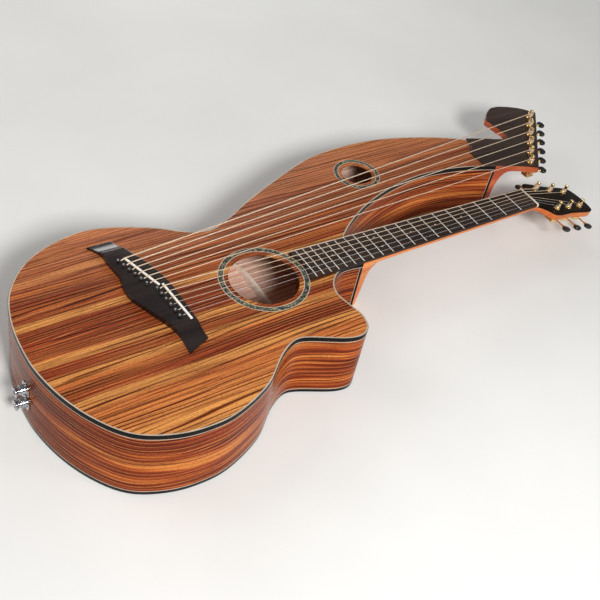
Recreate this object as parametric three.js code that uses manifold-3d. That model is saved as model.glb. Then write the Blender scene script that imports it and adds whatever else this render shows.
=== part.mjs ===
// Harp guitar lying on its flat back, in millimetres, +Z up.
// The instrument is drawn in its own soundboard frame: z = 0 is the top of the soundboard, the strings
// run along X from the theoretical saddle line (x = 0) to the nut (x = scaleLength), and the hollow harp
// arm lies at +Y.
// The finished group is tipped by the taper of the body, so the back rests on z = 0 under the saddle line.
import * as THREE from 'three';
import { mergeVertices } from 'three/addons/utils/BufferGeometryUtils.js';
import Module from 'manifold-3d';

const wasm = await Module();
wasm.setup();

// Fits
const fit = 0.3; // between glued or seated faces
const turningFit = 0.35; // round a faceted shaft in its bore
const overrun = 4; // how far every cut runs past the face it opens
const facetTolerance = 0.8; // how far a facet may cut inside a curved outline
const outlineSteps = 6; // points tried between two named points of an outline

// Body
const bodyLength = 502; // tail to the neck joint
const boutWidth = 381; // across the lower bout
const armLength = 371; // neck joint to the end of the hollow arm
const tailDepth = 118;
const armEndDepth = 96;
const topThickness = 2.8;
const backThickness = 3;
const rimThickness = 2.3;
const liningReach = 9; // inward from the outside of the rim
const liningHeight = 17;
const bindingWidth = 2.3;
const bindingHeight = 6;

// Sound holes and their rings
const soundholeRadius = 50.3;
const rosetteInnerRadius = 56.7;
const rosetteOuterRadius = 65.3;
const rosetteThickness = 1.2;
const lastFretMargin = 4.2; // from the last fret to the end of the fingerboard at the ring
const armHolePlaceShares = [0.3215, 0.416]; // of the arm and of the lower bout
const armHoleRadius = 25.5;
const armRosetteInnerRadius = 31;
const armRosetteOuterRadius = 38.4;

// Neck and fingerboard
const scaleLength = 648;
const bodyJointFret = 14;
const fretCount = 20;
const nutWidth = 44.5;
const twelfthFretWidth = 54.7;
const fingerboardTop = 5.6; // above the soundboard
const fretWidth = 2.2;
const fretCrown = 1.1;
const nutThickness = 4.4;
const nutCrown = 2; // above the fingerboard
const neckDepthAtNut = 14.2;
const neckDepthAtHeel = 18;
const heelLength = 31;
const heelCapWidth = 30;
const heelFlatness = 0.7; // lower is squarer in plan
const rodDiameter = 6;
const rodSetback = 13.5; // from its end to the nut

// Guitar headstock
const headTiltDegrees = 15.9;
const headLength = 154;
const headFlareWidth = 86;
const headEndWidth = 61;
const headThickness = 13;
const veneerThickness = 2;

// Harp head
const harpHeadLength = 194;
const harpHeadWidth = 178;
const harpHeadThickness = 14;
const overlayThickness = 3;
const overlayLap = 22; // over the end of the soundboard
const armHeelThickness = 7;
const armHeelSweep = 28;

// Bridge, saddles and pins
const bridgeLength = 236;
const bridgeWidth = 73;
const bridgeHeight = 9.5;
const saddleThickness = 3;
const saddleSlotDepth = 5;
const saddleCrown = 2;
const pinSetback = 11.5; // behind the saddle line
const pinRadius = 3.2;
const pinHeight = 3.4;
const pinShares = [[0, -1], [0.7, -1], [1, 0.35], [0.75, 0.85], [0, 1]]; // of its radius and height
const stringHoleRadius = 1.6;
const bridgePlateThickness = 2.6;

// Strings
const guitarGauges = [1.35, 1.07, 0.81, 0.61, 0.41, 0.3];
const subbassGauges = [1.8, 1.65, 1.5, 1.4, 1.3, 1.2];
const plainStringLimit = 0.5; // thicker strings are wound
const nutSpread = 36;
const saddleSpread = 57;
const subbassSpread = 54;
const subbassInset = 2.8; // from the outer end of the sub-bass saddle
const ballRadius = 2;
const ballLength = 3;
const windingGap = 0.55; // clear space between the turns on a post
const windingTurns = 3;
const turnSteps = 8;
const stringSides = 5;

// Tuners
const tunersPerSide = 3;
const subbassCount = 6;
const tunerSpacing = 37.1;
const firstTunerSetback = 46.8; // from the nut along the headstock
const tunerEdgeInset = 13.6;
const postRadius = 3;
const postHeight = 15;
const postCapRadius = 3.6;
const postCapShares = [0.86, 0.92]; // of its height
const windingStart = 3.6; // above the headstock face
const bushingRadius = 5.2;
const bushingHeight = 2.4;
const bushingTopShare = 0.86; // of its radius
const bushingTubeRadius = 4.2;
const housingLength = 17;
const housingWidth = 15.5;
const housingHeight = 10.5;
const housingWall = 1.4;
const gearRadius = 4;
const gearThickness = 3.6;
const wormRadius = 1.6;
const wormLength = 8;
const shaftRadius = 1.3;
const buttonReach = 32.5; // post axis to the middle of the button
const buttonLength = 12;
const buttonWidth = 16;
const buttonThickness = 7;
const buttonEdge = 2.2;
const buttonNeckRadius = 2.8;
const buttonStemRadius = 1.7;
const roundSides = 8; // of a post, bushing or button
const shaftSides = 6;
const holeSides = 8;
const soundholeSides = 40;
const armHoleSides = 28;
const jackSides = 16;
const fingerboardEndSteps = 8;
const heelSides = 12;

// Braces and blocks
const braceWidth = 8;
const braceHeight = 12;
const backBraceHeight = 14;
const braceCrossShares = [0.18, 0.026]; // of the way to the neck joint and of the lower bout
const tailLegDegrees = [127.5, 231.4];
const neckLegDegrees = [49.8, 306];
const bridgePlateClearance = 2.5; // from the braces
const neckBlockLength = 46;
const tailBlockThickness = 20;
const tailBlockWidth = 84;
const armBlockLength = 26;

// End jacks in the tail
const jackSpacing = 25;
const jackDrop = 57; // upper jack below the soundboard
const jackOffset = 11; // towards the treble side
const jackFlangeRadius = 11;
const jackFlangeThickness = 1.5;
const jackCollarRadius = 7;
const jackCollarLength = 7;
const jackWaistRadius = 5.4;
const jackProtrusion = 16;
const jackLipRadius = 7.4;
const jackLipThickness = 3;
const jackBarrelRadius = 5.6;
const jackBarrelLength = 20; // inside the tail
const jackBoreRadius = 3.2;
const jackBoreDepth = 29; // from the lip

// Places derived from the driving dimensions
const fretX = (fret) => scaleLength * 2 ** (-fret / 12);
const jointX = fretX(bodyJointFret);
const tailX = jointX - bodyLength;
const armEndX = jointX + armLength;
const backSlope = (tailDepth - armEndDepth) / (bodyLength + armLength);
const backZ = (x) => -tailDepth + backSlope * (x - tailX);
const boardHalfWidth = (x) => (
  (nutWidth + (twelfthFretWidth - nutWidth) * (scaleLength - x) / (scaleLength - fretX(12))) / 2
);
const plateTop = () => 0;
const boardEndX = fretX(fretCount) - lastFretMargin;
const soundholeCentre = new THREE.Vector2(boardEndX - 2 * fit - rosetteOuterRadius, 0);
const armHoleCentre = new THREE.Vector2(
  jointX + armHolePlaceShares[0] * armLength,
  armHolePlaceShares[1] * boutWidth,
);

// Solids
function flipped(triangles) {
  const turned = [...triangles];
  for (let i = 0; i < turned.length; i += 3) {
    [turned[i], turned[i + 1]] = [turned[i + 1], turned[i]];
  }
  return turned;
}

function manifoldOf(vertProperties, triangles) {
  const triVerts = new Uint32Array(triangles);
  return new wasm.Manifold(new wasm.Mesh({ numProp: 3, vertProperties, triVerts }));
}

// A closed geometry as a solid, its faces turned outwards and its zero-width triangles left out.
function solid(geometry) {
  const bare = new THREE.BufferGeometry();
  bare.setAttribute('position', geometry.getAttribute('position'));
  bare.setIndex(geometry.getIndex());
  const merged = mergeVertices(bare);
  const index = merged.getIndex().array;
  const triangles = [];
  for (let i = 0; i < index.length; i += 3) {
    const [a, b, c] = index.slice(i, i + 3);
    if (a !== b && b !== c && c !== a) triangles.push(a, b, c);
  }
  const vertices = new Float32Array(merged.getAttribute('position').array);
  const body = manifoldOf(vertices, triangles);
  return body.volume() < 0 ? manifoldOf(vertices, flipped(triangles)) : body;
}

const join = (first, ...others) => others.reduce((body, other) => body.add(other), first);
const cut = (body, ...tools) => tools.reduce((rest, tool) => rest.subtract(tool), body);

// Rings of equal counts, joined each to the next; closed rings of rings make a frame, capped ones a bar.
function ringsGeometry(rings, closed) {
  const count = rings[0].length;
  const positions = rings.flat().flatMap((point) => [point.x, point.y, point.z]);
  const triangles = [];
  const bands = closed ? rings.length : rings.length - 1;
  for (let k = 0; k < bands; k += 1) {
    const next = (k + 1) % rings.length;
    for (let i = 0; i < count; i += 1) {
      const j = (i + 1) % count;
      const corners = [k * count + i, k * count + j, next * count + j, next * count + i];
      triangles.push(corners[0], corners[1], corners[2], corners[0], corners[2], corners[3]);
    }
  }
  if (!closed) {
    const last = (rings.length - 1) * count;
    for (let i = 1; i < count - 1; i += 1) {
      triangles.push(0, i + 1, i, last, last + i, last + i + 1);
    }
  }
  const geometry = new THREE.BufferGeometry();
  geometry.setAttribute('position', new THREE.Float32BufferAttribute(positions, 3));
  geometry.setIndex(triangles);
  return geometry;
}

// A prism on an outline in the XY plane, from low to high.
function prism(points, low, high, holes = []) {
  const shape = new THREE.Shape(points);
  shape.holes = holes.map((hole) => new THREE.Path(hole));
  const geometry = new THREE.ExtrudeGeometry(shape, { depth: high - low, bevelEnabled: false });
  return solid(geometry.translate(0, 0, low));
}

// A plate between two heights that may change along X.
function plate(loop, bottomAt, topAt) {
  const ring = (heightAt) => loop.map((point) => new THREE.Vector3(point.x, point.y, heightAt(point.x)));
  const geometry = ringsGeometry([ring(bottomAt), ring(topAt)], true);
  const count = loop.length;
  const caps = THREE.ShapeUtils.triangulateShape(loop, []).flatMap(([a, b, c]) => (
    [a, c, b, a + count, b + count, c + count]
  ));
  const walls = [...geometry.getIndex().array].slice(0, count * 6);
  geometry.setIndex([...walls, ...caps]);
  return solid(geometry);
}

function box(low, high) {
  const size = high.clone().sub(low);
  const middle = low.clone().add(high).multiplyScalar(1 / 2);
  return solid(new THREE.BoxGeometry(size.x, size.y, size.z).translate(middle.x, middle.y, middle.z));
}

// A turned piece about Z; its profile is a list of [radius, height].
function turned(profile, sides) {
  const points = profile.map(([radius, height]) => new THREE.Vector2(radius, height));
  return new THREE.LatheGeometry(points, sides).rotateX(Math.PI / 2);
}

function rod(radius, low, high, sides = roundSides) {
  return turned([[0, low], [radius, low], [radius, high], [0, high]], sides);
}

function tube(innerRadius, outerRadius, low, high, sides) {
  const profile = [[innerRadius, low], [outerRadius, low], [outerRadius, high], [innerRadius, high]];
  return turned([...profile, profile[0]], sides);
}

// Outlines
function smooth(points) {
  const knots = points.map((point) => new THREE.Vector3(point.x, point.y, 0));
  const curve = new THREE.CatmullRomCurve3(knots, false, 'centripetal');
  const places = curve.getPoints((knots.length - 1) * outlineSteps);
  return places.map((point) => new THREE.Vector2(point.x, point.y));
}

// Keeps the points that a facet tolerance needs.
function thinned(points) {
  const raised = points.map((point) => new THREE.Vector3(point.x, point.y, 0));
  const kept = [points[0]];
  let start = 0;
  raised.forEach((reached, index) => {
    const chord = new THREE.Line3(raised[start], reached);
    const bulge = raised.slice(start + 1, index).some((place) => (
      chord.closestPointToPoint(place, true, new THREE.Vector3()).distanceTo(place) > facetTolerance
    ));
    if (bulge) {
      start = index - 1;
      kept.push(points[start]);
    }
  });
  return [...kept, points.at(-1)];
}

// A counter-clockwise loop moved inwards, its corners mitred.
function inset(loop, distance) {
  return loop.map((point, i) => {
    const before = loop.at(i - 1);
    const after = loop[(i + 1) % loop.length];
    const arriving = point.clone().sub(before).normalize();
    const leaving = after.clone().sub(point).normalize();
    const inward = new THREE.Vector2(-arriving.y, arriving.x);
    const bisector = new THREE.Vector2(-(arriving.y + leaving.y), arriving.x + leaving.x).normalize();
    return point.clone().addScaledVector(bisector, distance / bisector.dot(inward));
  });
}

// The body's plan, as shares of its lengths from the neck joint and of the lower bout's width.
const armInnerShares = [
  [0, 0.0735], [0.04, 0.108], [0.1113, 0.157], [0.219, 0.2152], [0.3698, 0.2703], [0.5045, 0.299],
  [0.6014, 0.309], [0.7037, 0.307], [0.8383, 0.2887], [0.9568, 0.2562], [1, 0.242],
];
const armOuterShares = [
  [1, 0.461], [0.9568, 0.485], [0.8383, 0.5339], [0.7037, 0.5743], [0.569, 0.603], [0.4344, 0.611],
  [0.2998, 0.6052], [0.1652, 0.5827], [0.0306, 0.5354],
];
const boutShares = [
  [0.077, 0.48], [0.1666, 0.427], [0.272, 0.3528], [0.35, 0.3176], [0.4117, 0.3386], [0.4754, 0.391],
  [0.575, 0.45], [0.6746, 0.4793], [0.7742, 0.458], [0.8738, 0.395], [0.9535, 0.2756], [0.9903, 0.139],
  [1, 0.005], [0.9963, -0.105], [0.9535, -0.294], [0.8738, -0.4436], [0.7742, -0.5066],
  [0.6746, -0.5207], [0.605, -0.5066], [0.4953, -0.4446], [0.4117, -0.3528], [0.3447, -0.3123],
  [0.272, -0.349], [0.2165, -0.3806], [0.1686, -0.387], [0.1387, -0.357], [0.1272, -0.294],
  [0.14, -0.2205], [0.1437, -0.1732], [0.133, -0.1286], [0.111, -0.0955], [0.083, -0.0735],
  [0.055, -0.0656], [0, -0.0735],
];
const armPoint = ([along, across]) => new THREE.Vector2(jointX + along * armLength, across * boutWidth);
const boutPoint = ([along, across]) => new THREE.Vector2(jointX - along * bodyLength, across * boutWidth);
const innerEdge = thinned(smooth(armInnerShares.map(armPoint)));
const outerEdge = thinned(smooth([...armOuterShares.map(armPoint), ...boutShares.map(boutPoint)]));
const bodyLoop = [...innerEdge, ...outerEdge];
const armEndInnerY = innerEdge.at(-1).y;
const armEndOuterY = outerEdge[0].y;

// A frame round the body from a section of [inset, height at x] corners, outer bottom corner first.
function rimFrame(section) {
  const rings = section.map(([depth, heightAt]) => (
    inset(bodyLoop, depth).map((point) => new THREE.Vector3(point.x, point.y, heightAt(point.x)))
  ));
  return solid(ringsGeometry(rings, true));
}

const plateInset = bindingWidth + fit;
const above = (heightAt, rise) => (x) => heightAt(x) + rise;

// Materials
const finish = (colour, roughness, metalness = 0) => (
  new THREE.MeshStandardMaterial({ color: colour, roughness, metalness })
);
const stripedWood = finish(0x9a5526, 0.35);
const sideWood = finish(0x7a3d1d, 0.35);
const neckWood = finish(0xb5652b, 0.4);
const darkWood = finish(0x2b2624, 0.5);
const spruce = finish(0xd9b98a, 0.7);
const blackPlastic = finish(0x0c0c0d, 0.25);
const bone = finish(0xefe8d6, 0.45);
const shell = finish(0xa9b39a, 0.2);
const gold = finish(0xc9a25a, 0.25, 1);
const chrome = finish(0xd8dadc, 0.12, 1);
const steel = finish(0x9a9c9e, 0.4, 1);
const bronze = finish(0xb98a55, 0.35, 1);
const plainSteel = finish(0xc8cacc, 0.3, 1);

// The group that holds the instrument in its soundboard frame
const harpGuitar = new THREE.Group();
harpGuitar.rotation.y = Math.atan(backSlope);
const soundboardFrame = new THREE.Group();
soundboardFrame.position.z = -backZ(0);
harpGuitar.add(soundboardFrame);
const headFrame = new THREE.Group();
const nutFarX = scaleLength + fit + nutThickness;
headFrame.position.set(nutFarX, 0, 0);
headFrame.rotation.y = THREE.MathUtils.degToRad(headTiltDegrees);
soundboardFrame.add(headFrame);
const harpFaceFrame = new THREE.Group();
harpFaceFrame.position.z = overlayThickness;
soundboardFrame.add(harpFaceFrame);
[headFrame, harpFaceFrame].forEach((frame) => frame.updateMatrix());
const placed = (body, frame) => body.transform([...frame.matrix.elements]);

function addPart(name, body, material, frame = soundboardFrame) {
  const mesh = body.getMesh();
  const geometry = new THREE.BufferGeometry();
  geometry.setAttribute('position', new THREE.BufferAttribute(new Float32Array(mesh.vertProperties), 3));
  geometry.setIndex(new THREE.BufferAttribute(new Uint32Array(mesh.triVerts), 1));
  geometry.computeVertexNormals();
  const part = new THREE.Mesh(geometry, material);
  part.name = name;
  frame.add(part);
}

// String courses: where each string crosses its saddle, and which way it leaves
const bridgePoint = ([along, across]) => new THREE.Vector2(along * bridgeWidth, across * bridgeLength);
const guitarSaddleShares = [[-0.0918, 0.1462], [-0.0233, -0.1636]];
const subbassSaddleShares = [[-0.4342, 0.4212], [-0.1603, 0.1458]];
const [guitarSaddleStart, guitarSaddleEnd] = guitarSaddleShares.map(bridgePoint);
const [subbassSaddleStart, subbassSaddleEnd] = subbassSaddleShares.map(bridgePoint);

function onSaddle(start, end, y) {
  const share = (y - start.y) / (end.y - start.y);
  return start.clone().lerp(end, share);
}

const spreadPlaces = (count, first, last) => (
  Array.from({ length: count }, (_, i) => first + (last - first) * i / (count - 1))
);
const guitarSaddlePoints = spreadPlaces(guitarGauges.length, saddleSpread / 2, -saddleSpread / 2)
  .map((y) => onSaddle(guitarSaddleStart, guitarSaddleEnd, y));
const subbassOuterY = subbassSaddleStart.y - subbassInset;
const subbassSaddlePoints = spreadPlaces(subbassCount, subbassOuterY, subbassOuterY - subbassSpread)
  .map((y) => onSaddle(subbassSaddleStart, subbassSaddleEnd, y));
const pinPoints = [...guitarSaddlePoints, ...subbassSaddlePoints]
  .map((point) => new THREE.Vector2(point.x - pinSetback, point.y));
const stringHolePoints = pinPoints
  .map((point) => new THREE.Vector2(point.x + pinRadius + stringHoleRadius, point.y));

function stringHoles(low, high) {
  return stringHolePoints.map((point) => (
    solid(rod(stringHoleRadius, low - overrun, high + overrun, holeSides).translate(point.x, point.y, 0))
  ));
}

// Body shell
const mainRing = [soundholeCentre, rosetteInnerRadius, rosetteOuterRadius, soundholeSides];
const armRing = [armHoleCentre, armRosetteInnerRadius, armRosetteOuterRadius, armHoleSides];

function soundboard() {
  const loop = inset(bodyLoop, plateInset);
  const board = prism(loop, -topThickness, 0);
  const openings = [[soundholeRadius, mainRing], [armHoleRadius, armRing]]
    .flatMap(([radius, [centre, inner, outer, sides]]) => [
      rod(radius, -topThickness - overrun, overrun, sides),
      tube(inner - fit, outer + fit, -rosetteThickness - fit, overrun, sides),
    ].map((geometry) => solid(geometry.translate(centre.x, centre.y, 0))));
  return cut(board, ...openings, ...stringHoles(-topThickness, 0));
}

function rosette(centre, inner, outer, sides) {
  return solid(tube(inner, outer, -rosetteThickness, 0, sides).translate(centre.x, centre.y, 0));
}

// Ladder braces on the inside of the back, as places between tail and neck joint
const backBraceShares = [0.19, 0.39, 0.59, 0.786];

function back() {
  const board = plate(inset(bodyLoop, plateInset), backZ, above(backZ, backThickness));
  const hollow = prism(inset(bodyLoop, liningReach + fit), -tailDepth - overrun, 0);
  const braces = backBraceShares.map((share) => {
    const x = tailX + share * bodyLength;
    const seat = backZ(x) + backThickness;
    const low = new THREE.Vector3(x - braceWidth / 2, -boutWidth, seat - backThickness / 2);
    const high = new THREE.Vector3(x + braceWidth / 2, boutWidth, seat + backBraceHeight);
    return box(low, high).intersect(hollow);
  });
  return join(board, ...braces);
}

function sides() {
  const topEdge = above(plateTop, -bindingHeight - fit);
  const backEdge = above(backZ, bindingHeight + fit);
  const underTop = above(plateTop, -topThickness - fit);
  const overBack = above(backZ, backThickness + fit);
  const rim = rimFrame([
    [0, backEdge],
    [0, topEdge],
    [plateInset, topEdge],
    [plateInset, underTop],
    [liningReach, underTop],
    [rimThickness, above(underTop, -liningHeight)],
    [rimThickness, above(overBack, liningHeight)],
    [liningReach, overBack],
    [plateInset, overBack],
    [plateInset, backEdge],
  ]);
  return cut(rim, ...jackBores());
}

function binding(bottomAt, topAt) {
  return rimFrame([[0, bottomAt], [0, topAt], [bindingWidth, topAt], [bindingWidth, bottomAt]]);
}

// Blocks inside the rim
function block(low, high) {
  const room = prism(inset(bodyLoop, rimThickness + fit), -tailDepth, 0);
  const underTop = above(plateTop, -topThickness - fit);
  const overBack = above(backZ, backThickness + fit);
  const linings = rimFrame([
    [0, above(backZ, -overrun)],
    [0, above(plateTop, overrun)],
    [liningReach + fit, above(plateTop, overrun)],
    [liningReach + fit, above(underTop, -fit)],
    [rimThickness + fit, above(underTop, -liningHeight - fit)],
    [rimThickness + fit, above(overBack, liningHeight + fit)],
    [liningReach + fit, above(overBack, fit)],
    [liningReach + fit, above(backZ, -overrun)],
  ]);
  const slab = [
    new THREE.Vector2(low.x, low.y),
    new THREE.Vector2(high.x, low.y),
    new THREE.Vector2(high.x, high.y),
    new THREE.Vector2(low.x, high.y),
  ];
  const filling = plate(slab, overBack, underTop);
  return cut(filling.intersect(room), linings);
}

const neckBlockShares = [-0.055, 0.14]; // across the lower bout

function neckBlock() {
  const [treble, bass] = neckBlockShares.map((share) => share * boutWidth);
  return block(new THREE.Vector2(jointX - neckBlockLength, treble), new THREE.Vector2(jointX, bass));
}

function tailBlock() {
  const inside = tailX + rimThickness + tailBlockThickness;
  const low = new THREE.Vector2(tailX, -jackOffset - tailBlockWidth / 2);
  const body = block(low, new THREE.Vector2(inside, low.y + tailBlockWidth));
  return cut(body, ...jackBores());
}

function armBlock() {
  const low = new THREE.Vector2(armEndX - armBlockLength, 0);
  return block(low, new THREE.Vector2(armEndX, boutWidth));
}

// Two crossed braces under the soundboard. They cross between the saddle line and the neck joint, and each
// leg leaves the crossing at its own angle from +X and runs to the linings.
const braceCross = new THREE.Vector2(braceCrossShares[0] * jointX, braceCrossShares[1] * boutWidth);
const tailLegAngles = tailLegDegrees.map(THREE.MathUtils.degToRad);

function crossedBraces() {
  const under = -topThickness - fit;
  const low = under - braceHeight;
  const hollow = prism(inset(bodyLoop, liningReach + fit), low - overrun, under);
  const bars = [...tailLegAngles, ...neckLegDegrees.map(THREE.MathUtils.degToRad)].map((angle) => {
    const bar = new THREE.BoxGeometry(boutWidth, braceWidth, braceHeight);
    bar.translate(boutWidth / 2 - braceWidth / 2, 0, low + braceHeight / 2);
    return solid(bar.rotateZ(angle).translate(braceCross.x, braceCross.y, 0)).intersect(hollow);
  });
  return join(...bars);
}

// Bridge
const bridgeShares = [
  [-0.904, 0.6119], [-0.76, 0.5297], [-0.74, 0.428], [-0.699, 0.288], [-0.76, 0.2246], [-0.76, 0.1356],
  [-0.6164, 0.0085], [-0.411, -0.1568], [-0.37, -0.233], [-0.392, -0.364], [0.079, -0.3008],
  [0.07, -0.077], [0.07, 0.0975], [0.01, 0.237], [-0.11, 0.3644], [-0.27, 0.483], [-0.411, 0.6157],
];
const wingProfileShares = [
  [-0.37, 0], [-0.37, 0.36], [-0.26, 0.38], [-0.222, 0.54], [-0.2, 0.86], [-0.19, 1],
  [0.508, 1], [0.518, 0.86], [0.54, 0.54], [0.578, 0.38], [0.63, 0.36], [0.63, 0],
];

function saddleBody(start, end, low, high, length, thickness) {
  const angle = end.clone().sub(start).angle();
  const middle = start.clone().lerp(end, 1 / 2);
  const blank = new THREE.BoxGeometry(length, thickness, high - low).translate(0, 0, (low + high) / 2);
  return solid(blank.rotateZ(angle).translate(middle.x, middle.y, 0));
}

const saddles = [[guitarSaddleStart, guitarSaddleEnd], [subbassSaddleStart, subbassSaddleEnd]];
const saddleFloor = bridgeHeight - saddleSlotDepth;
const saddleTop = bridgeHeight + saddleCrown;

function saddle([start, end]) {
  return saddleBody(start, end, saddleFloor + fit, saddleTop, start.distanceTo(end), saddleThickness);
}

function saddleSlot([start, end]) {
  const length = start.distanceTo(end) + 2 * fit;
  return saddleBody(start, end, saddleFloor, bridgeHeight + overrun, length, saddleThickness + 2 * fit);
}

function bridge() {
  const plan = prism(bridgeShares.map(bridgePoint).reverse(), fit, bridgeHeight);
  const wings = new THREE.Shape(wingProfileShares.map(([along, up]) => (
    new THREE.Vector2(along * bridgeLength, up * bridgeHeight)
  )));
  const depth = 3 * bridgeWidth;
  const profile = new THREE.ExtrudeGeometry(wings, { depth, bevelEnabled: false });
  profile.rotateX(Math.PI / 2).rotateZ(Math.PI / 2).translate(-depth / 2, 0, 0);
  const pin = pinShares.map(([out, up]) => [out * pinRadius, bridgeHeight + up * pinHeight]);
  const pins = pinPoints.map((point) => solid(turned(pin, holeSides).translate(point.x, point.y, 0)));
  const cuts = [...saddles.map(saddleSlot), ...stringHoles(0, bridgeHeight)];
  return join(cut(plan.intersect(solid(profile)), ...cuts), ...pins);
}

const bridgePlateShares = [
  [-0.74, 0.432], [-0.466, 0.44], [-0.12, 0.33], [0.03, 0.17], [0.027, -0.165], [-0.38, -0.165], [-0.7, 0.1],
];

// The plate fills its outline between the two tail legs of the braces.
function bridgePlate() {
  const top = -topThickness - fit;
  const low = top - bridgePlateThickness;
  const [bass, treble] = tailLegAngles.map((angle) => new THREE.Vector2(Math.cos(angle), Math.sin(angle)));
  const middle = bass.clone().add(treble).normalize();
  const between = Math.abs(bass.cross(middle));
  const apex = braceCross.clone().addScaledVector(middle, (braceWidth / 2 + bridgePlateClearance) / between);
  const room = [apex, bass, treble].map((leg, i) => (
    i === 0 ? leg : apex.clone().addScaledVector(leg, boutWidth)
  ));
  const body = prism(bridgePlateShares.map(bridgePoint).reverse(), low, top);
  return cut(body.intersect(prism(room, low - overrun, top + overrun)), ...stringHoles(low, top));
}

// Fingerboard with its frets
function fingerboard() {
  const nutX = scaleLength;
  const arcRadius = boardEndX - soundholeCentre.x;
  const halfEnd = boardHalfWidth(boardEndX);
  const halfAngle = Math.asin(halfEnd / arcRadius);
  const arc = spreadPlaces(fingerboardEndSteps + 1, halfAngle, -halfAngle).map((angle) => new THREE.Vector2(
    soundholeCentre.x + arcRadius * Math.cos(angle),
    arcRadius * Math.sin(angle),
  ));
  const half = nutWidth / 2;
  const plan = [new THREE.Vector2(nutX, -half), new THREE.Vector2(nutX, half), ...arc];
  const board = prism(plan, fit, fingerboardTop);
  const frets = Array.from({ length: fretCount }, (_, i) => {
    const x = fretX(i + 1);
    const width = 2 * boardHalfWidth(x);
    const crown = new THREE.Shape([
      new THREE.Vector2(-fretWidth / 2, fingerboardTop - fretCrown / 2),
      new THREE.Vector2(fretWidth / 2, fingerboardTop - fretCrown / 2),
      new THREE.Vector2(fretWidth / 4, fingerboardTop + fretCrown),
      new THREE.Vector2(-fretWidth / 4, fingerboardTop + fretCrown),
    ]);
    const wire = new THREE.ExtrudeGeometry(crown, { depth: width, bevelEnabled: false });
    return solid(wire.rotateX(Math.PI / 2).translate(x, width / 2, 0));
  });
  return join(board, ...frets);
}

const nutStringPoints = spreadPlaces(guitarGauges.length, nutSpread / 2, -nutSpread / 2);
const nutTop = fingerboardTop + nutCrown;

function nut() {
  const half = nutWidth / 2;
  const blank = box(
    new THREE.Vector3(scaleLength + fit, -half, fit),
    new THREE.Vector3(nutFarX, half, nutTop),
  );
  const slots = nutStringPoints.map((y, i) => {
    const radius = guitarGauges[i] / 2 + fit;
    const reach = nutThickness + overrun;
    const slot = rod(radius, -reach, reach, holeSides).rotateY(Math.PI / 2);
    return solid(slot.translate(nutFarX, y, nutTop));
  });
  return cut(blank, ...slots);
}

// Neck: a shaft lofted along X, a heel lofted down Z and the tilted headstock
function neckShaft() {
  const stations = [
    [jointX + fit, neckDepthAtHeel],
    [jointX + heelLength, neckDepthAtHeel],
    [nutFarX, neckDepthAtNut],
  ];
  const rings = stations.map(([x, depth]) => {
    const half = boardHalfWidth(x);
    return spreadPlaces(heelSides + 1, 0, -Math.PI).map((angle) => (
      new THREE.Vector3(x, half * Math.cos(angle), depth * Math.sin(angle))
    ));
  });
  return solid(ringsGeometry(rings, false));
}

// Heel slices from the top down: reach and half width, as shares of the heel's length and of the neck there
const heelShares = [
  [1.95, 0.98], [1.62, 0.96], [1.3, 0.92], [1.12, 0.84], [1.05, 0.72], [1, 0.62], [0.92, 0.54],
];
const heelDepthShares = [0.085, 0.13, 0.2, 0.32, 0.5, 0.75, 1];

function heel() {
  const depth = -backZ(jointX + fit + heelLength);
  const half = boardHalfWidth(jointX);
  const rings = heelShares.map(([reach, width], i) => {
    const z = -heelDepthShares[i] * depth;
    const capWidth = i === heelShares.length - 1 ? heelCapWidth / 2 : half * width;
    return spreadPlaces(heelSides + 1, -Math.PI / 2, Math.PI / 2).map((angle) => new THREE.Vector3(
      jointX + fit + heelLength * reach * Math.cos(angle) ** heelFlatness,
      capWidth * Math.sin(angle),
      z,
    ));
  });
  return solid(ringsGeometry(rings, false));
}

const headFlareShare = 0.19;
const headOutlineShares = [
  [0.05, 0.56], [0.12, 0.74], [headFlareShare, 1], [0.55, 0.86], [0.96, 0.72], [1, 0.5], [1.02, 0],
];

function headLoop(startX) {
  const half = headFlareWidth / 2;
  const outline = headOutlineShares.map(([along, across]) => (
    new THREE.Vector2(along * headLength, across * half)
  ));
  const side = [new THREE.Vector2(startX, nutWidth / 2), ...outline];
  const far = side.slice(0, -1).map((point) => new THREE.Vector2(point.x, -point.y));
  return [...far, side.at(-1), ...side.slice(0, -1).reverse()];
}

function headPlate() {
  return placed(prism(headLoop(-veneerThickness), -headThickness, -veneerThickness - fit), headFrame);
}

function neck() {
  const channelHalf = rodDiameter / 2 + fit;
  const channel = box(
    new THREE.Vector3(jointX + heelLength / 2, -channelHalf, -rodDiameter - 2 * fit),
    new THREE.Vector3(scaleLength - rodSetback + fit, channelHalf, overrun),
  );
  const seats = headTuners.map((tuner) => placed(tunerSeat(tuner, headThickness), headFrame));
  const bores = headTuners.map((tuner) => placed(tunerBore(tuner, headThickness), headFrame));
  const aboveHead = prism(headLoop(-veneerThickness), -veneerThickness - fit, headLength);
  const overHead = placed(aboveHead, headFrame);
  const wood = cut(join(neckShaft(), heel()), channel, overHead);
  return cut(join(wood, headPlate(), ...seats), ...bores);
}

function trussRod() {
  const start = jointX + heelLength / 2 + fit;
  const bar = rod(rodDiameter / 2, start, scaleLength - rodSetback, holeSides).rotateY(Math.PI / 2);
  return solid(bar.translate(0, 0, -rodDiameter / 2 - fit));
}

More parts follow.
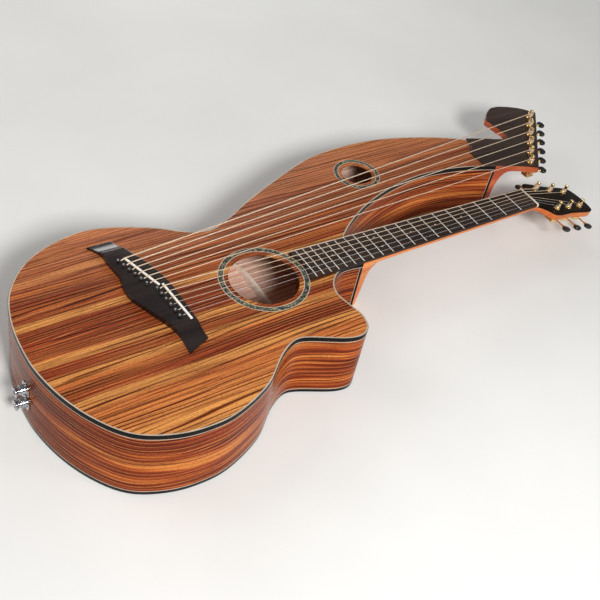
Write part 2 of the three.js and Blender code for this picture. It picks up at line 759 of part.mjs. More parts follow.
// Tuners: each stands at a place on a face, its worm shaft leaving at an angle in that face
const flareX = headFlareShare * headLength;
const flareHalf = (x) => (
  (headFlareWidth + (headEndWidth - headFlareWidth) * (x - flareX) / (headLength - flareX)) / 2
);
const headTuners = [1, -1].flatMap((side) => (
  Array.from({ length: tunersPerSide }, (_, i) => {
    const x = firstTunerSetback + i * tunerSpacing;
    return { x, y: side * (flareHalf(x) - tunerEdgeInset), angle: side * Math.PI / 2, wormSide: -side };
  })
));
const harpPoint = ([along, across]) => (
  new THREE.Vector2(armEndX + along * harpHeadLength, armEndInnerY + across * harpHeadWidth)
);
const harpTunerShares = [[0.865, 0.54], [0.339, -0.09]];
const [harpTunerFirst, harpTunerLast] = harpTunerShares.map(harpPoint);
const harpTuners = Array.from({ length: subbassCount }, (_, i) => {
  const place = harpTunerFirst.clone().lerp(harpTunerLast, i / (subbassCount - 1));
  return { x: place.x, y: place.y, angle: 0, wormSide: -1 };
});

function atTuner(geometry, tuner) {
  return solid(geometry.rotateZ(tuner.angle).translate(tuner.x, tuner.y, 0));
}

const wormOffset = gearRadius + wormRadius + fit;
const housingMiddle = (tuner) => tuner.wormSide * (housingWidth / 2 - gearRadius - housingWall - turningFit);
const shaftDepth = (thickness) => thickness + housingHeight / 2;

// What stays still: the housing under the head and the bushing above it
function tunerSeat(tuner, thickness) {
  const housing = new THREE.BoxGeometry(housingLength, housingWidth, housingHeight + fit);
  housing.translate(0, housingMiddle(tuner), -thickness - (housingHeight - fit) / 2);
  const bushing = turned([
    [0, -thickness],
    [bushingTubeRadius, -thickness],
    [bushingTubeRadius, fit],
    [bushingRadius, fit],
    [bushingTopShare * bushingRadius, fit + bushingHeight],
    [0, fit + bushingHeight],
  ], roundSides);
  return join(atTuner(housing, tuner), atTuner(bushing, tuner));
}

function tunerBore(tuner, thickness) {
  const post = rod(postRadius + turningFit, -thickness - housingHeight / 2, bushingHeight + overrun);
  const room = new THREE.BoxGeometry(
    housingLength - 2 * housingWall,
    housingWidth - 2 * housingWall,
    housingHeight - 2 * housingWall,
  );
  room.translate(0, housingMiddle(tuner), -thickness - housingHeight / 2);
  const shaft = rod(shaftRadius + turningFit, 0, housingLength / 2 + overrun, shaftSides);
  shaft.rotateY(Math.PI / 2).translate(0, tuner.wormSide * wormOffset, -shaftDepth(thickness));
  return join(atTuner(room, tuner), atTuner(post, tuner), atTuner(shaft, tuner));
}

function tunerPost(tuner, thickness) {
  const gearMiddle = -shaftDepth(thickness);
  const [capStart, capEdge] = postCapShares.map((share) => share * postHeight);
  return atTuner(turned([
    [0, gearMiddle - gearThickness / 2],
    [gearRadius, gearMiddle - gearThickness / 2],
    [gearRadius, gearMiddle + gearThickness / 2],
    [postRadius, gearMiddle + gearThickness / 2],
    [postRadius, capStart],
    [postCapRadius, capEdge],
    [postRadius, postHeight],
    [0, postHeight],
  ], roundSides), tuner);
}

function tunerButton(tuner, thickness) {
  const worm = rod(wormRadius, -wormLength / 2, wormLength / 2, shaftSides).rotateY(Math.PI / 2);
  const inner = buttonReach - buttonLength / 2;
  const shaft = rod(shaftRadius, 0, buttonReach, shaftSides).rotateY(Math.PI / 2);
  const neckPiece = turned([
    [0, inner - buttonNeckRadius],
    [buttonStemRadius, inner - buttonNeckRadius],
    [buttonNeckRadius, inner + buttonEdge],
    [0, inner + buttonEdge],
  ], shaftSides).rotateY(Math.PI / 2);
  const half = new THREE.Vector2(buttonLength / 2 - buttonEdge / 2, buttonWidth / 2 - buttonEdge);
  const oval = new THREE.Shape(spreadPlaces(roundSides + 1, 0, 2 * Math.PI).slice(0, -1).map((angle) => (
    new THREE.Vector2(half.x * Math.cos(angle), half.y * Math.sin(angle))
  )));
  const knob = new THREE.ExtrudeGeometry(oval, {
    depth: buttonThickness - 2 * buttonEdge,
    bevelThickness: buttonEdge,
    bevelSize: buttonEdge / 2,
    bevelSegments: 1,
  }).translate(buttonReach, 0, -(buttonThickness - 2 * buttonEdge) / 2);
  const body = [worm, shaft, neckPiece, knob].map((geometry) => (
    atTuner(geometry.translate(0, tuner.wormSide * wormOffset, -shaftDepth(thickness)), tuner)
  ));
  return join(...body);
}

function faceVeneer(loop, low, high, tuners) {
  const holes = tuners.map((tuner) => (
    atTuner(rod(bushingTubeRadius + fit, low - overrun, high + overrun), tuner)
  ));
  return cut(prism(loop, low, high), ...holes);
}

// Harp head: a flat plate with the hooked horn, and a short heel that closes the end of the arm
const hornShares = [
  [0.06, -0.02], [0.153, -0.055], [0.236, -0.092], [0.31, -0.13], [0.378, -0.172], [0.996, 0.594],
  [0.968, 0.624], [0.914, 0.688], [0.842, 0.745], [0.739, 0.798], [0.655, 0.824], [0.588, 0.822],
  [0.505, 0.774], [0.451, 0.725], [0.41, 0.677], [0.419, 0.613], [0.428, 0.522], [0.439, 0.457],
  [0.431, 0.382], [0.38, 0.326], [0.31, 0.34], [0.166, 0.402],
];

function harpHeadLoop(startX) {
  return [
    new THREE.Vector2(startX, armEndInnerY),
    ...hornShares.map(harpPoint),
    new THREE.Vector2(startX, armEndOuterY),
  ];
}

// Sweep of the arm's heel, as shares of its sweep and of its depth
const sweepShares = [[1, 0], [0.62, 0.03], [0.3, 0.12], [0.12, 0.3], [0, 0.6], [0, 1]];

function harpHead() {
  const startX = armEndX + fit;
  const underside = overlayThickness - harpHeadThickness;
  const body = prism(harpHeadLoop(startX), underside, 0);
  const depth = underside - backZ(startX + armHeelThickness);
  const sweep = sweepShares.map(([out, down]) => new THREE.Vector2(
    startX + armHeelThickness + out * armHeelSweep,
    underside - down * depth,
  ));
  const side = [
    new THREE.Vector2(startX, underside / 2),
    new THREE.Vector2(startX, underside - depth),
    ...sweep.reverse(),
    new THREE.Vector2(startX + armHeelThickness + armHeelSweep, underside / 2),
  ];
  const slab = new THREE.ExtrudeGeometry(new THREE.Shape(side), { depth: boutWidth, bevelEnabled: false });
  const reach = prism(harpHeadLoop(startX), underside - depth - overrun, 0);
  const heelPiece = solid(slab.rotateX(Math.PI / 2).translate(0, boutWidth, 0)).intersect(reach);
  const seats = harpTuners.map((tuner) => placed(tunerSeat(tuner, harpHeadThickness), harpFaceFrame));
  const bores = harpTuners.map((tuner) => placed(tunerBore(tuner, harpHeadThickness), harpFaceFrame));
  return cut(join(body, heelPiece, ...seats), ...bores);
}

// The overlay's edge on the soundboard, as shares of its lap and of the arm's end
const overlayEdgeShares = [[0.39, 0.705], [0.94, 0.6], [0.94, 0.09]];

function harpOverlay() {
  const height = armEndOuterY - armEndInnerY;
  const edge = overlayEdgeShares.map(([back, up]) => (
    new THREE.Vector2(armEndX - back * overlayLap, armEndInnerY + up * height)
  ));
  const loop = [...harpHeadLoop(armEndX), ...edge];
  return faceVeneer(loop, -overlayThickness + fit, 0, harpTuners);
}

// Jacks in the tail, along -X
const jackPlaces = [0, 1].map((i) => new THREE.Vector3(tailX, -jackOffset, -jackDrop - i * jackSpacing));

function jackBores() {
  return jackPlaces.map((place) => {
    const reach = jackBarrelLength + overrun;
    const bore = rod(jackBarrelRadius + fit, -overrun, reach, jackSides).rotateY(Math.PI / 2);
    return solid(bore.translate(place.x, place.y, place.z));
  });
}

function jack(place) {
  const seat = -fit;
  const flange = seat - jackFlangeThickness;
  const collar = flange - jackCollarLength;
  const end = seat - jackProtrusion;
  const geometry = turned([
    [0, jackBarrelLength],
    [jackBarrelRadius, jackBarrelLength],
    [jackBarrelRadius, seat],
    [jackFlangeRadius, seat],
    [jackFlangeRadius, flange],
    [jackCollarRadius, flange],
    [jackCollarRadius, collar],
    [jackWaistRadius, collar],
    [jackWaistRadius, end + jackLipThickness],
    [jackLipRadius, end + jackLipThickness],
    [jackLipRadius, end],
    [jackBoreRadius, end],
    [jackBoreRadius, end + jackBoreDepth],
    [0, end + jackBoreDepth],
  ], jackSides).rotateY(Math.PI / 2);
  return solid(geometry.translate(place.x, place.y, place.z));
}

// Strings: one unbroken cord from the ball under the bridge plate to the last turn on its post
function cord(stations, radii) {
  const rings = [];
  let side = new THREE.Vector3(0, 1, 0);
  stations.forEach((place, i) => {
    const before = stations[Math.max(i - 1, 0)];
    const after = stations[Math.min(i + 1, stations.length - 1)];
    const along = after.clone().sub(before).normalize();
    side = side.clone().addScaledVector(along, -side.dot(along)).normalize();
    const up = along.clone().cross(side);
    rings.push(spreadPlaces(stringSides + 1, 0, 2 * Math.PI).slice(0, -1).map((angle) => (
      place.clone()
        .addScaledVector(side, radii[i] * Math.cos(angle))
        .addScaledVector(up, radii[i] * Math.sin(angle))
    )));
  });
  return solid(ringsGeometry(rings, false));
}

let leastTurnGap = Infinity;

function stringBody(gauge, holeIndex, crossings, tuner, wind, frame) {
  const radius = gauge / 2;
  const hole = stringHolePoints[holeIndex];
  const plateBottom = -topThickness - 2 * fit - bridgePlateThickness;
  const lift = bridgeHeight + radius + fit;
  const start = [
    new THREE.Vector3(hole.x, hole.y, plateBottom - ballLength),
    new THREE.Vector3(hole.x, hole.y, plateBottom - ballLength / 3),
    new THREE.Vector3(hole.x, hole.y, plateBottom),
    new THREE.Vector3(hole.x, hole.y, bridgeHeight),
    new THREE.Vector3(hole.x + stringHoleRadius, hole.y, lift),
  ];
  const around = postRadius + fit + radius;
  const arrival = crossings.at(-1).clone().applyMatrix4(frame.clone().invert());
  const away = new THREE.Vector2(arrival.x - tuner.x, arrival.y - tuner.y);
  const tangent = away.angle() - wind * Math.acos(around / away.length());
  const pitch = gauge + windingGap;
  const turns = Array.from({ length: windingTurns * turnSteps + 1 }, (_, i) => {
    const share = i / turnSteps;
    const angle = tangent - wind * share * 2 * Math.PI;
    const height = windingStart + radius + share * pitch;
    return new THREE.Vector3(
      tuner.x + around * Math.cos(angle),
      tuner.y + around * Math.sin(angle),
      height,
    ).applyMatrix4(frame);
  });
  const stations = [...start, ...crossings, ...turns];
  const radii = stations.map((_, i) => (i < 2 ? ballRadius : radius));
  const starts = turns.slice(0, -turnSteps).map((place, i) => place.distanceTo(turns[i + turnSteps]));
  leastTurnGap = Math.min(leastTurnGap, Math.min(...starts) - gauge);
  return cord(stations, radii);
}

function addStrings() {
  guitarGauges.forEach((gauge, i) => {
    const rest = gauge / 2 + fit;
    const over = guitarSaddlePoints[i];
    const crossings = [
      new THREE.Vector3(over.x - saddleThickness / 4, over.y, saddleTop + rest),
      new THREE.Vector3(over.x + saddleThickness / 4, over.y, saddleTop + rest),
      new THREE.Vector3(scaleLength + fit, nutStringPoints[i], nutTop),
      new THREE.Vector3(nutFarX + fit, nutStringPoints[i], nutTop - fit),
    ];
    const bassSide = i < tunersPerSide;
    const tuner = headTuners[bassSide ? i : headTuners.length + tunersPerSide - 1 - i];
    const body = stringBody(gauge, i, crossings, tuner, bassSide ? -1 : 1, headFrame.matrix);
    const metal = gauge > plainStringLimit ? bronze : plainSteel;
    addPart(`string_${guitarGauges.length - i}`, body, metal);
  });
  subbassGauges.forEach((gauge, i) => {
    const rest = gauge / 2 + fit;
    const over = subbassSaddlePoints[i];
    const crossings = [
      new THREE.Vector3(over.x - saddleThickness / 4, over.y, saddleTop + rest),
      new THREE.Vector3(over.x + saddleThickness / 4, over.y, saddleTop + rest),
    ];
    const holeIndex = guitarGauges.length + i;
    const body = stringBody(gauge, holeIndex, crossings, harpTuners[i], 1, harpFaceFrame.matrix);
    addPart(`subbass_string_${i + 1}`, body, bronze);
  });
}

function addTuners(prefix, tuners, thickness, frame) {
  tuners.forEach((tuner, i) => {
    addPart(`${prefix}_post_${i + 1}`, tunerPost(tuner, thickness), gold, frame);
    addPart(`${prefix}_button_${i + 1}`, tunerButton(tuner, thickness), blackPlastic, frame);
  });
}

// Assembly
addPart('soundboard', soundboard(), stripedWood);
addPart('back', back(), sideWood);
addPart('sides', sides(), sideWood);
addPart('binding_top', binding(above(plateTop, -bindingHeight), plateTop), blackPlastic);
addPart('binding_back', binding(backZ, above(backZ, bindingHeight)), blackPlastic);
addPart('rosette_main', rosette(...mainRing), shell);
addPart('rosette_arm', rosette(...armRing), shell);
addPart('neck_block', neckBlock(), neckWood);
addPart('tail_block', tailBlock(), neckWood);
addPart('arm_block', armBlock(), neckWood);
addPart('crossed_braces', crossedBraces(), spruce);
addPart('bridge_plate', bridgePlate(), spruce);
addPart('bridge', bridge(), darkWood);
addPart('saddle_guitar', saddle(saddles[0]), bone);
addPart('saddle_subbass', saddle(saddles[1]), bone);
addPart('fingerboard', fingerboard(), darkWood);
addPart('nut', nut(), bone);
addPart('neck', neck(), neckWood);
addPart('truss_rod', trussRod(), steel);
addPart('head_veneer', faceVeneer(headLoop(fit), -veneerThickness, 0, headTuners), darkWood, headFrame);
addPart('harp_head', harpHead(), neckWood);
addPart('harp_head_veneer', harpOverlay(), darkWood, harpFaceFrame);
addPart('jack_upper', jack(jackPlaces[0]), chrome);
addPart('jack_lower', jack(jackPlaces[1]), chrome);
addTuners('guitar_tuner', headTuners, headThickness, headFrame);
addTuners('harp_tuner', harpTuners, harpHeadThickness, harpFaceFrame);
addStrings();
console.log(`least gap between the turns of a string: ${leastTurnGap.toFixed(2)} mm`);

export default harpGuitar;
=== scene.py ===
import math

import bmesh
import bpy
from mathutils import Matrix, Vector


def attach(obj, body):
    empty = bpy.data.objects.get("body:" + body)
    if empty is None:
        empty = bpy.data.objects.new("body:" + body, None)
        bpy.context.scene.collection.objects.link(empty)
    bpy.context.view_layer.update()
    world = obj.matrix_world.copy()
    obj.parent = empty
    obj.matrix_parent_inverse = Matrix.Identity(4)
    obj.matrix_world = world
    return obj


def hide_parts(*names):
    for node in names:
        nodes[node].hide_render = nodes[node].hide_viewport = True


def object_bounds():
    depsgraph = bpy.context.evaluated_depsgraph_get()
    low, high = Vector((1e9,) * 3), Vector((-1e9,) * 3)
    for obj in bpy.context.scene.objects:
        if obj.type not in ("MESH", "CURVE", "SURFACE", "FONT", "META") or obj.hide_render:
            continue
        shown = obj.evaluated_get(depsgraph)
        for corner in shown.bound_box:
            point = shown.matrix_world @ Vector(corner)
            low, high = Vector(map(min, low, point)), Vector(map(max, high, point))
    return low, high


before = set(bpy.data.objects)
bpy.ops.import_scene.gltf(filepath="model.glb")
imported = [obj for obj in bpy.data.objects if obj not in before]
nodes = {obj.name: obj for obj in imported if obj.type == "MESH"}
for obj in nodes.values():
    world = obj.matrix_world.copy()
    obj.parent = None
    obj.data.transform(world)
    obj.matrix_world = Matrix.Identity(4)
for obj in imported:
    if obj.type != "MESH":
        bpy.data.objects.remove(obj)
cad_box = [list(corner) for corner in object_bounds()]

# The back: a flat plate of striped brown wood in two mirrored halves, lacquered outside and bare inside,
# glued to the linings. It lies on the ground, so the soundboard slopes by the taper of the body. All
# pieces are drawn in millimetres in the soundboard's frame, where z = 0 is the top of the soundboard.
tail_depth, arm_depth = 118, 96
body_length, arm_length, scale_length = 502, 371, 648
joint_fret, octave = 14, 12
joint_x = scale_length * 2 ** (-joint_fret / octave)
tail_x = joint_x - body_length
arm_end_x = joint_x + arm_length
slope = (tail_depth - arm_depth) / (body_length + arm_length)
back_thickness, binding_width, binding_height, line_height = 3, 2.45, 6, 1.2
gap, back_gap, loop_step = 0.02, 0.03, 3


def back_z(x):
    """The height of the back's outer face under a place along the soundboard."""
    return -tail_depth + slope * (x - tail_x)


board_frame = (Matrix.Rotation(math.atan(slope), 4, "Y") @ Matrix.Translation((0, 0, -back_z(0) / 1000))
               @ Matrix.Scale(1 / 1000, 4))


def outline(node, place, level):
    """The longest edge of a CAD node's flat face at a level of a frame, counter-clockwise."""
    weld, near, flattest = 0.02, 0.1, 0.99
    mesh = bmesh.new()
    mesh.from_mesh(nodes[node].data)
    mesh.transform(place.inverted())
    bmesh.ops.remove_doubles(mesh, verts=mesh.verts, dist=weld)
    mesh.normal_update()
    flat = {face for face in mesh.faces
            if abs(face.normal.z) > flattest and abs(face.calc_center_median().z - level) < near}
    ways = {}
    for edge in mesh.edges:
        if sum(face in flat for face in edge.link_faces) == 1:
            first, second = edge.verts
            ways.setdefault(first.index, []).append(second.index)
            ways.setdefault(second.index, []).append(first.index)
    places = {vertex.index: vertex.co.xy for vertex in mesh.verts}
    mesh.free()
    loops, left = [], sorted(ways)
    while left:
        walk = [left[0]]
        step = ways[walk[0]][0]
        while step != walk[0]:
            walk.append(step)
            step = next(way for way in ways[step] if way != walk[-2])
        left = [index for index in left if index not in walk]
        loops.append([places[index] for index in walk])
    longest = max(loops, key=lambda loop: sum((a - b).length for a, b in zip(loop, loop[1:] + loop[:1])))
    area = sum(a.x * b.y - b.x * a.y for a, b in zip(longest, longest[1:] + longest[:1]))
    return longest if area > 0 else longest[::-1]


def spline(points, closed):
    """Points close together on a smooth line through the given ones."""
    if closed:
        padded = [points[-1], *points, *points[:2]]
    else:
        padded = [2 * points[0] - points[1], *points, 2 * points[-1] - points[-2]]
    steps, dense = 8, []
    for a, b, c, d in zip(padded, padded[1:], padded[2:], padded[3:]):
        first = (b - a).length ** 0.5
        second = first + (c - b).length ** 0.5
        third = second + (d - c).length ** 0.5
        for i in range(steps):
            t = first + (second - first) * i / steps
            ab = a.lerp(b, t / first)
            bc = b.lerp(c, (t - first) / (second - first))
            cd = c.lerp(d, (t - second) / (third - second))
            abc = ab.lerp(bc, t / second)
            bcd = bc.lerp(cd, (t - first) / (third - first))
            dense.append(abc.lerp(bcd, (t - first) / (second - first)))
    return dense if closed else [*dense, points[-1]]


def even(points, spacing, closed):
    """Points at even steps along a line."""
    path = [*points, points[0]] if closed else points
    reach = [0]
    for a, b in zip(path, path[1:]):
        reach.append(reach[-1] + (b - a).length)
    parts = max(3, round(reach[-1] / spacing))
    placed, at = [], 0
    for i in range(parts if closed else parts + 1):
        want = reach[-1] * i / parts
        while at < len(path) - 2 and reach[at + 1] < want:
            at += 1
        placed.append(path[at].lerp(path[at + 1], (want - reach[at]) / (reach[at + 1] - reach[at])))
    return placed


def faired(loop, spacing=2, corner=50, passes=10):
    """A smooth loop in place of a faceted one. Corners that turn by more than an angle stay."""
    pull, push = 0.5, -0.53
    count = len(loop)
    turns = [(loop[i] - loop[i - 1]).angle(loop[(i + 1) % count] - loop[i]) for i in range(count)]
    corners = [i for i, turn in enumerate(turns) if math.degrees(turn) > corner]
    if not corners:
        stretches = [(even(spline(loop, True), spacing, True), True)]
    else:
        stretches = []
        for start, end in zip(corners, [*corners[1:], corners[0] + count]):
            points = [loop[i % count] for i in range(start, end + 1)]
            stretches.append((even(spline(points, False), spacing, False), False))
    smooth = []
    for points, closed in stretches:
        for weight in [pull, push] * passes:
            fixed = () if closed else (0, len(points) - 1)
            points = [point if i in fixed else
                      point.lerp((points[i - 1] + points[(i + 1) % len(points)]) / 2, weight)
                      for i, point in enumerate(points)]
        smooth += points if closed else points[:-1]
    return smooth


def inset(loop, distance):
    """A counter-clockwise loop moved inwards."""
    moved = []
    for i, point in enumerate(loop):
        arriving = (point - loop[i - 1]).normalized()
        leaving = (loop[(i + 1) % len(loop)] - point).normalized()
        inward = Vector((-arriving.y, arriving.x))
        bisector = Vector((-(arriving.y + leaving.y), arriving.x + leaving.x)).normalized()
        moved.append(point + bisector * (distance / bisector.dot(inward)))
    return moved


def ringed(rings, along=None, closed=False):
    """A solid from rings of equal counts, each joined to the next, its ends capped or joined to each other.
    With lengths along the rings it gets a UV map of the lengths along and across, in metres."""
    mesh = bmesh.new()
    made = [[mesh.verts.new(point) for point in ring] for ring in rings]
    uv = mesh.loops.layers.uv.new("UVMap")
    count, across = len(rings[0]), 0
    pairs = list(zip(made, made[1:])) + ([(made[-1], made[0])] if closed else [])
    for low, high in pairs:
        further = across + (high[0].co - low[0].co).length
        for i in range(count):
            j = (i + 1) % count
            face = mesh.faces.new((low[i], low[j], high[j], high[i]))
            if along:
                places = (i, across), (i + 1, across), (i + 1, further), (i, further)
                for corner, (u, v) in zip(face.loops, places):
                    corner[uv].uv = (along[u] / 1000, v / 1000)
        across = further
    if not closed:
        mesh.faces.new(made[0][::-1])
        mesh.faces.new(made[-1])
    return mesh


def slab(loop, low, high, round_low=0.0, round_high=0.0):
    """A plate on a loop from low to high, its lower and upper edges rounded."""
    section = []
    for radius, level, side in ((round_low, low, 1), (round_high, high, -1)):
        arc = [math.pi / 12 * i for i in range(7)] if radius else [math.pi / 2]
        corner = [(radius * (1 - math.sin(a)), level + side * radius * (1 - math.cos(a))) for a in arc]
        section += corner[::side]
    return ringed([[Vector((*point, height)) for point in inset(loop, depth)] for depth, height in section])


def made_of(name, mesh, place, *materials, sharp=35):
    """An object from a mesh drawn in a frame, in metres, shaded smooth but for its sharp edges."""
    mesh.transform(place)
    mesh.normal_update()
    for edge in mesh.edges:
        edge.smooth = len(edge.link_faces) == 2 and edge.calc_face_angle(0) < math.radians(sharp)
    for face in mesh.faces:
        face.smooth = True
    data = bpy.data.meshes.new(name)
    mesh.to_mesh(data)
    mesh.free()
    made = bpy.data.objects.new(name, data)
    bpy.context.collection.objects.link(made)
    for material in materials:
        data.materials.append(material)
    return made


def colour(red, green, blue):
    """A colour as a screen shows it, for a node's socket."""
    parts = [part / 255 for part in (red, green, blue)]
    return [part / 12.92 if part < 0.04 else ((part + 0.055) / 1.055) ** 2.4 for part in parts] + [1]


def add(tree, kind, sockets=None, **settings):
    """A node with its settings made, and its sockets set or fed by other nodes."""
    made = tree.nodes.new(kind)
    for key, value in settings.items():
        setattr(made, key, value)
    for key, value in (sockets or {}).items():
        if isinstance(value, bpy.types.Node):
            value = next(output for output in value.outputs if output.enabled)
        if isinstance(value, bpy.types.NodeSocket):
            tree.links.new(value, made.inputs[key])
        else:
            made.inputs[key].default_value = value
    return made


def ramp(tree, factor, *stops):
    """A colour ramp over a factor, from stops of place and screen colour, or place and grey."""
    made = add(tree, "ShaderNodeValToRGB", {"Fac": factor})
    marks = made.color_ramp.elements
    for i, (place, shade) in enumerate(stops):
        mark = marks[i] if i < 2 else marks.new(place)
        mark.position = place
        mark.color = colour(*shade) if isinstance(shade, tuple) else [shade, shade, shade, 1]
    return made


def mix(tree, factor, first, second, how="MIX"):
    """Two colours mixed by a factor, as an output."""
    return add(tree, "ShaderNodeMix", {0: factor, 6: first, 7: second}, data_type="RGBA",
               blend_type=how).outputs[2]


def sums(tree, how, *values):
    """A Math node over the given values."""
    return add(tree, "ShaderNodeMath", dict(enumerate(values)), operation=how)


def split(tree, vector):
    """The three parts of a vector."""
    return add(tree, "ShaderNodeSeparateXYZ", {0: vector}).outputs


def bundle(tree, *parts):
    """A vector from its parts."""
    return add(tree, "ShaderNodeCombineXYZ", dict(enumerate(parts)))


def vectors(tree, how, *values):
    """A Vector Math node over the given values."""
    return add(tree, "ShaderNodeVectorMath", dict(enumerate(values)), operation=how)


def share_of(tree, value, low, high, **settings):
    """How far a value lies between two others, from 0 to 1."""
    return add(tree, "ShaderNodeMapRange", {"Value": value, "From Min": low, "From Max": high}, **settings)


def noise(tree, vector, size, stretch=(1, 1, 1), detail=3.0, rough=0.55):
    """Noise of a feature size in metres, stretched along the grain."""
    stretched = vectors(tree, "MULTIPLY", vector, stretch)
    return add(tree, "ShaderNodeTexNoise", {"Vector": stretched, "Scale": 1 / size, "Detail": detail,
                                            "Roughness": rough}).outputs[0]


def surface(name, constants):
    """A new material, its tree and its shader, with some of the shader's sockets set."""
    made = bpy.data.materials.new(name)
    made.use_nodes = True
    shader = made.node_tree.nodes["Principled BSDF"]
    for key, value in constants.items():
        shader.inputs[key].default_value = value
    return made, made.node_tree, shader


def clad(tree, shader, base, marks, low, high, height, strength):
    """Feeds a shader its colour, a roughness between two values that follows marks, and a bump."""
    worn = add(tree, "ShaderNodeMapRange", {"Value": marks, "To Min": low, "To Max": high})
    bump = add(tree, "ShaderNodeBump", {"Height": height, "Strength": strength, "Distance": 0.0001})
    fed = {"Base Color": base, "Roughness": worn.outputs[0], "Normal": bump.outputs[0]}
    for socket, output in fed.items():
        tree.links.new(output, shader.inputs[socket])


def growth_lines(tree, across, grain, pitch, width):
    """Dark growth lines at uneven steps across the grain, stronger and weaker along their length."""
    drift = noise(tree, grain, pitch * 5, (0.05, 1, 1), 1)
    place = sums(tree, "MULTIPLY_ADD", drift, pitch * 4.5, across)
    wave = sums(tree, "SINE", sums(tree, "MULTIPLY", place, 2 * math.pi / pitch))
    line = share_of(tree, wave, 1 - width, 0.98, interpolation_type="SMOOTHSTEP")
    strength = noise(tree, grain, pitch * 1.6, (0.03, 1, 1), 2)
    return sums(tree, "MULTIPLY", line, ramp(tree, strength, (0.32, 0.2), (0.56, 1)))


def wood(name, tones, stain, coords="Object", turn=(0, 0, 0), gloss=0.3, coat=0.0, lines=0.6,
         width=0.026, sway=0.006, pitch=0.0058, gleam=0.0, shine=0.25, mirrored=False, bands=None):
    """Wood with its grain along X: broad tones, dark growth lines, short flecks and a slight swaying.
    With bands its tones follow stripes across the board, and its lines fade over them."""
    streak_size, fleck_size, patch_size = 0.0042, 0.0011, 0.09
    honey, amber = (1, 0.8, 0.5, 1), (1, 0.78, 0.5, 1)
    made, tree, shader = surface(name, {"Specular IOR Level": shine, "Coat Weight": coat,
                                        "Coat Roughness": 0.08})
    stain = colour(*stain)
    source = add(tree, "ShaderNodeTexCoord").outputs[coords]
    if mirrored:
        sides = split(tree, source)
        source = bundle(tree, sides[0], sums(tree, "ABSOLUTE", sides[1]), sides[2])
    straight = add(tree, "ShaderNodeMapping", {"Vector": source, "Rotation": turn})
    swaying = add(tree, "ShaderNodeTexNoise", {"Vector": vectors(tree, "MULTIPLY", straight, (5, 12, 12)),
                                               "Scale": 1, "Detail": 2}).outputs[1]
    grain = vectors(tree, "MULTIPLY_ADD", swaying, (0, sway, sway), straight)
    parts = split(tree, grain)
    across = sums(tree, "ADD", parts[1], parts[2])
    base = ramp(tree, noise(tree, grain, width, (0.06, 1, 1), 2), *tones.items())
    if bands:
        low, high, stops, fading = bands
        spread = share_of(tree, parts[1], low + sway / 2, high + sway / 2)
        base = mix(tree, 0.3, ramp(tree, spread, *stops), base)
        lines = sums(tree, "MULTIPLY", ramp(tree, spread, *fading), lines)
    fine = noise(tree, grain, streak_size, (0.02, 1, 1), 4, 0.62)
    streaks = sums(tree, "MULTIPLY", ramp(tree, fine, (0.34, 0.7), (0.5, 0)), lines)
    base = mix(tree, streaks, base, stain, "MULTIPLY")
    base = mix(tree, ramp(tree, fine, (0.55, 0), (0.7, 0.35)), base, honey, "OVERLAY")
    if gleam:
        threads = growth_lines(tree, sums(tree, "ADD", across, 0.4), grain, pitch * 0.8, 0.6)
        base = mix(tree, sums(tree, "MULTIPLY", threads, gleam), base, colour(*tones[max(tones)]))
    strong = growth_lines(tree, across, grain, pitch, 0.8)
    weak = growth_lines(tree, sums(tree, "ADD", across, 0.7), grain, pitch * 0.37, 0.9)
    dark = sums(tree, "MULTIPLY", sums(tree, "MAXIMUM", strong, sums(tree, "MULTIPLY", weak, 0.6)), lines)
    base = mix(tree, dark, base, stain, "MULTIPLY")
    flecks = noise(tree, grain, fleck_size, (0.3, 1, 1), 3, 0.6)
    base = mix(tree, ramp(tree, flecks, (0.34, 0.5), (0.46, 0)), base, stain, "MULTIPLY")
    base = mix(tree, ramp(tree, flecks, (0.56, 0), (0.68, 0.25)), base, amber, "OVERLAY")
    patches = noise(tree, grain, patch_size, (0.5, 1, 1), 2)
    base = mix(tree, 1.0, base, ramp(tree, patches, (0.3, 0.84), (0.7, 1.0)), "MULTIPLY")
    clad(tree, shader, base, fine, gloss - 0.05, gloss + 0.07, flecks, 0.15)
    return made


def parted(mesh, test):
    """Gives the faces that pass a test the second material."""
    mesh.normal_update()
    for face in mesh.faces:
        face.material_index = int(test(face))


def fitted(piece, node=None, body="instrument"):
    """Attaches a piece to the body it rides on and hides the CAD node it stands for."""
    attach(piece, body)
    if node:
        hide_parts(node)


deep_red, red_brown, orange_brown = (98, 36, 20), (142, 66, 34), (178, 98, 46)
gold_wood, dark_stain = (208, 146, 72), (110, 70, 54)
back_wood = wood("back_wood", {0.3: deep_red, 0.45: red_brown, 0.58: orange_brown, 0.72: gold_wood},
                 dark_stain, gloss=0.28, coat=0.1, gleam=0.4, shine=0.15, mirrored=True)
bare_wood = wood("bare_inside_wood", {0.3: (240, 202, 182), 0.7: (252, 222, 204)}, (196, 146, 126),
                 gloss=0.62, lines=0.75, pitch=0.008)
body_loop = faired(outline("binding_top", board_frame, 0), loop_step)
treble_reach, bass_reach = (cad_box[i][1] * 1000 / how(point.y for point in body_loop)
                            for i, how in enumerate((min, max)))
for point in body_loop:
    point.y *= min(1, bass_reach if point.y > 0 else treble_reach)
back = slab(inset(body_loop, binding_width + back_gap), 0, back_thickness)
for vertex in back.verts:
    vertex.co.z += back_z(vertex.co.x)
parted(back, lambda face: face.normal.z > 0.5)
fitted(made_of("back_plate", back, board_frame, back_wood, bare_wood), "back")

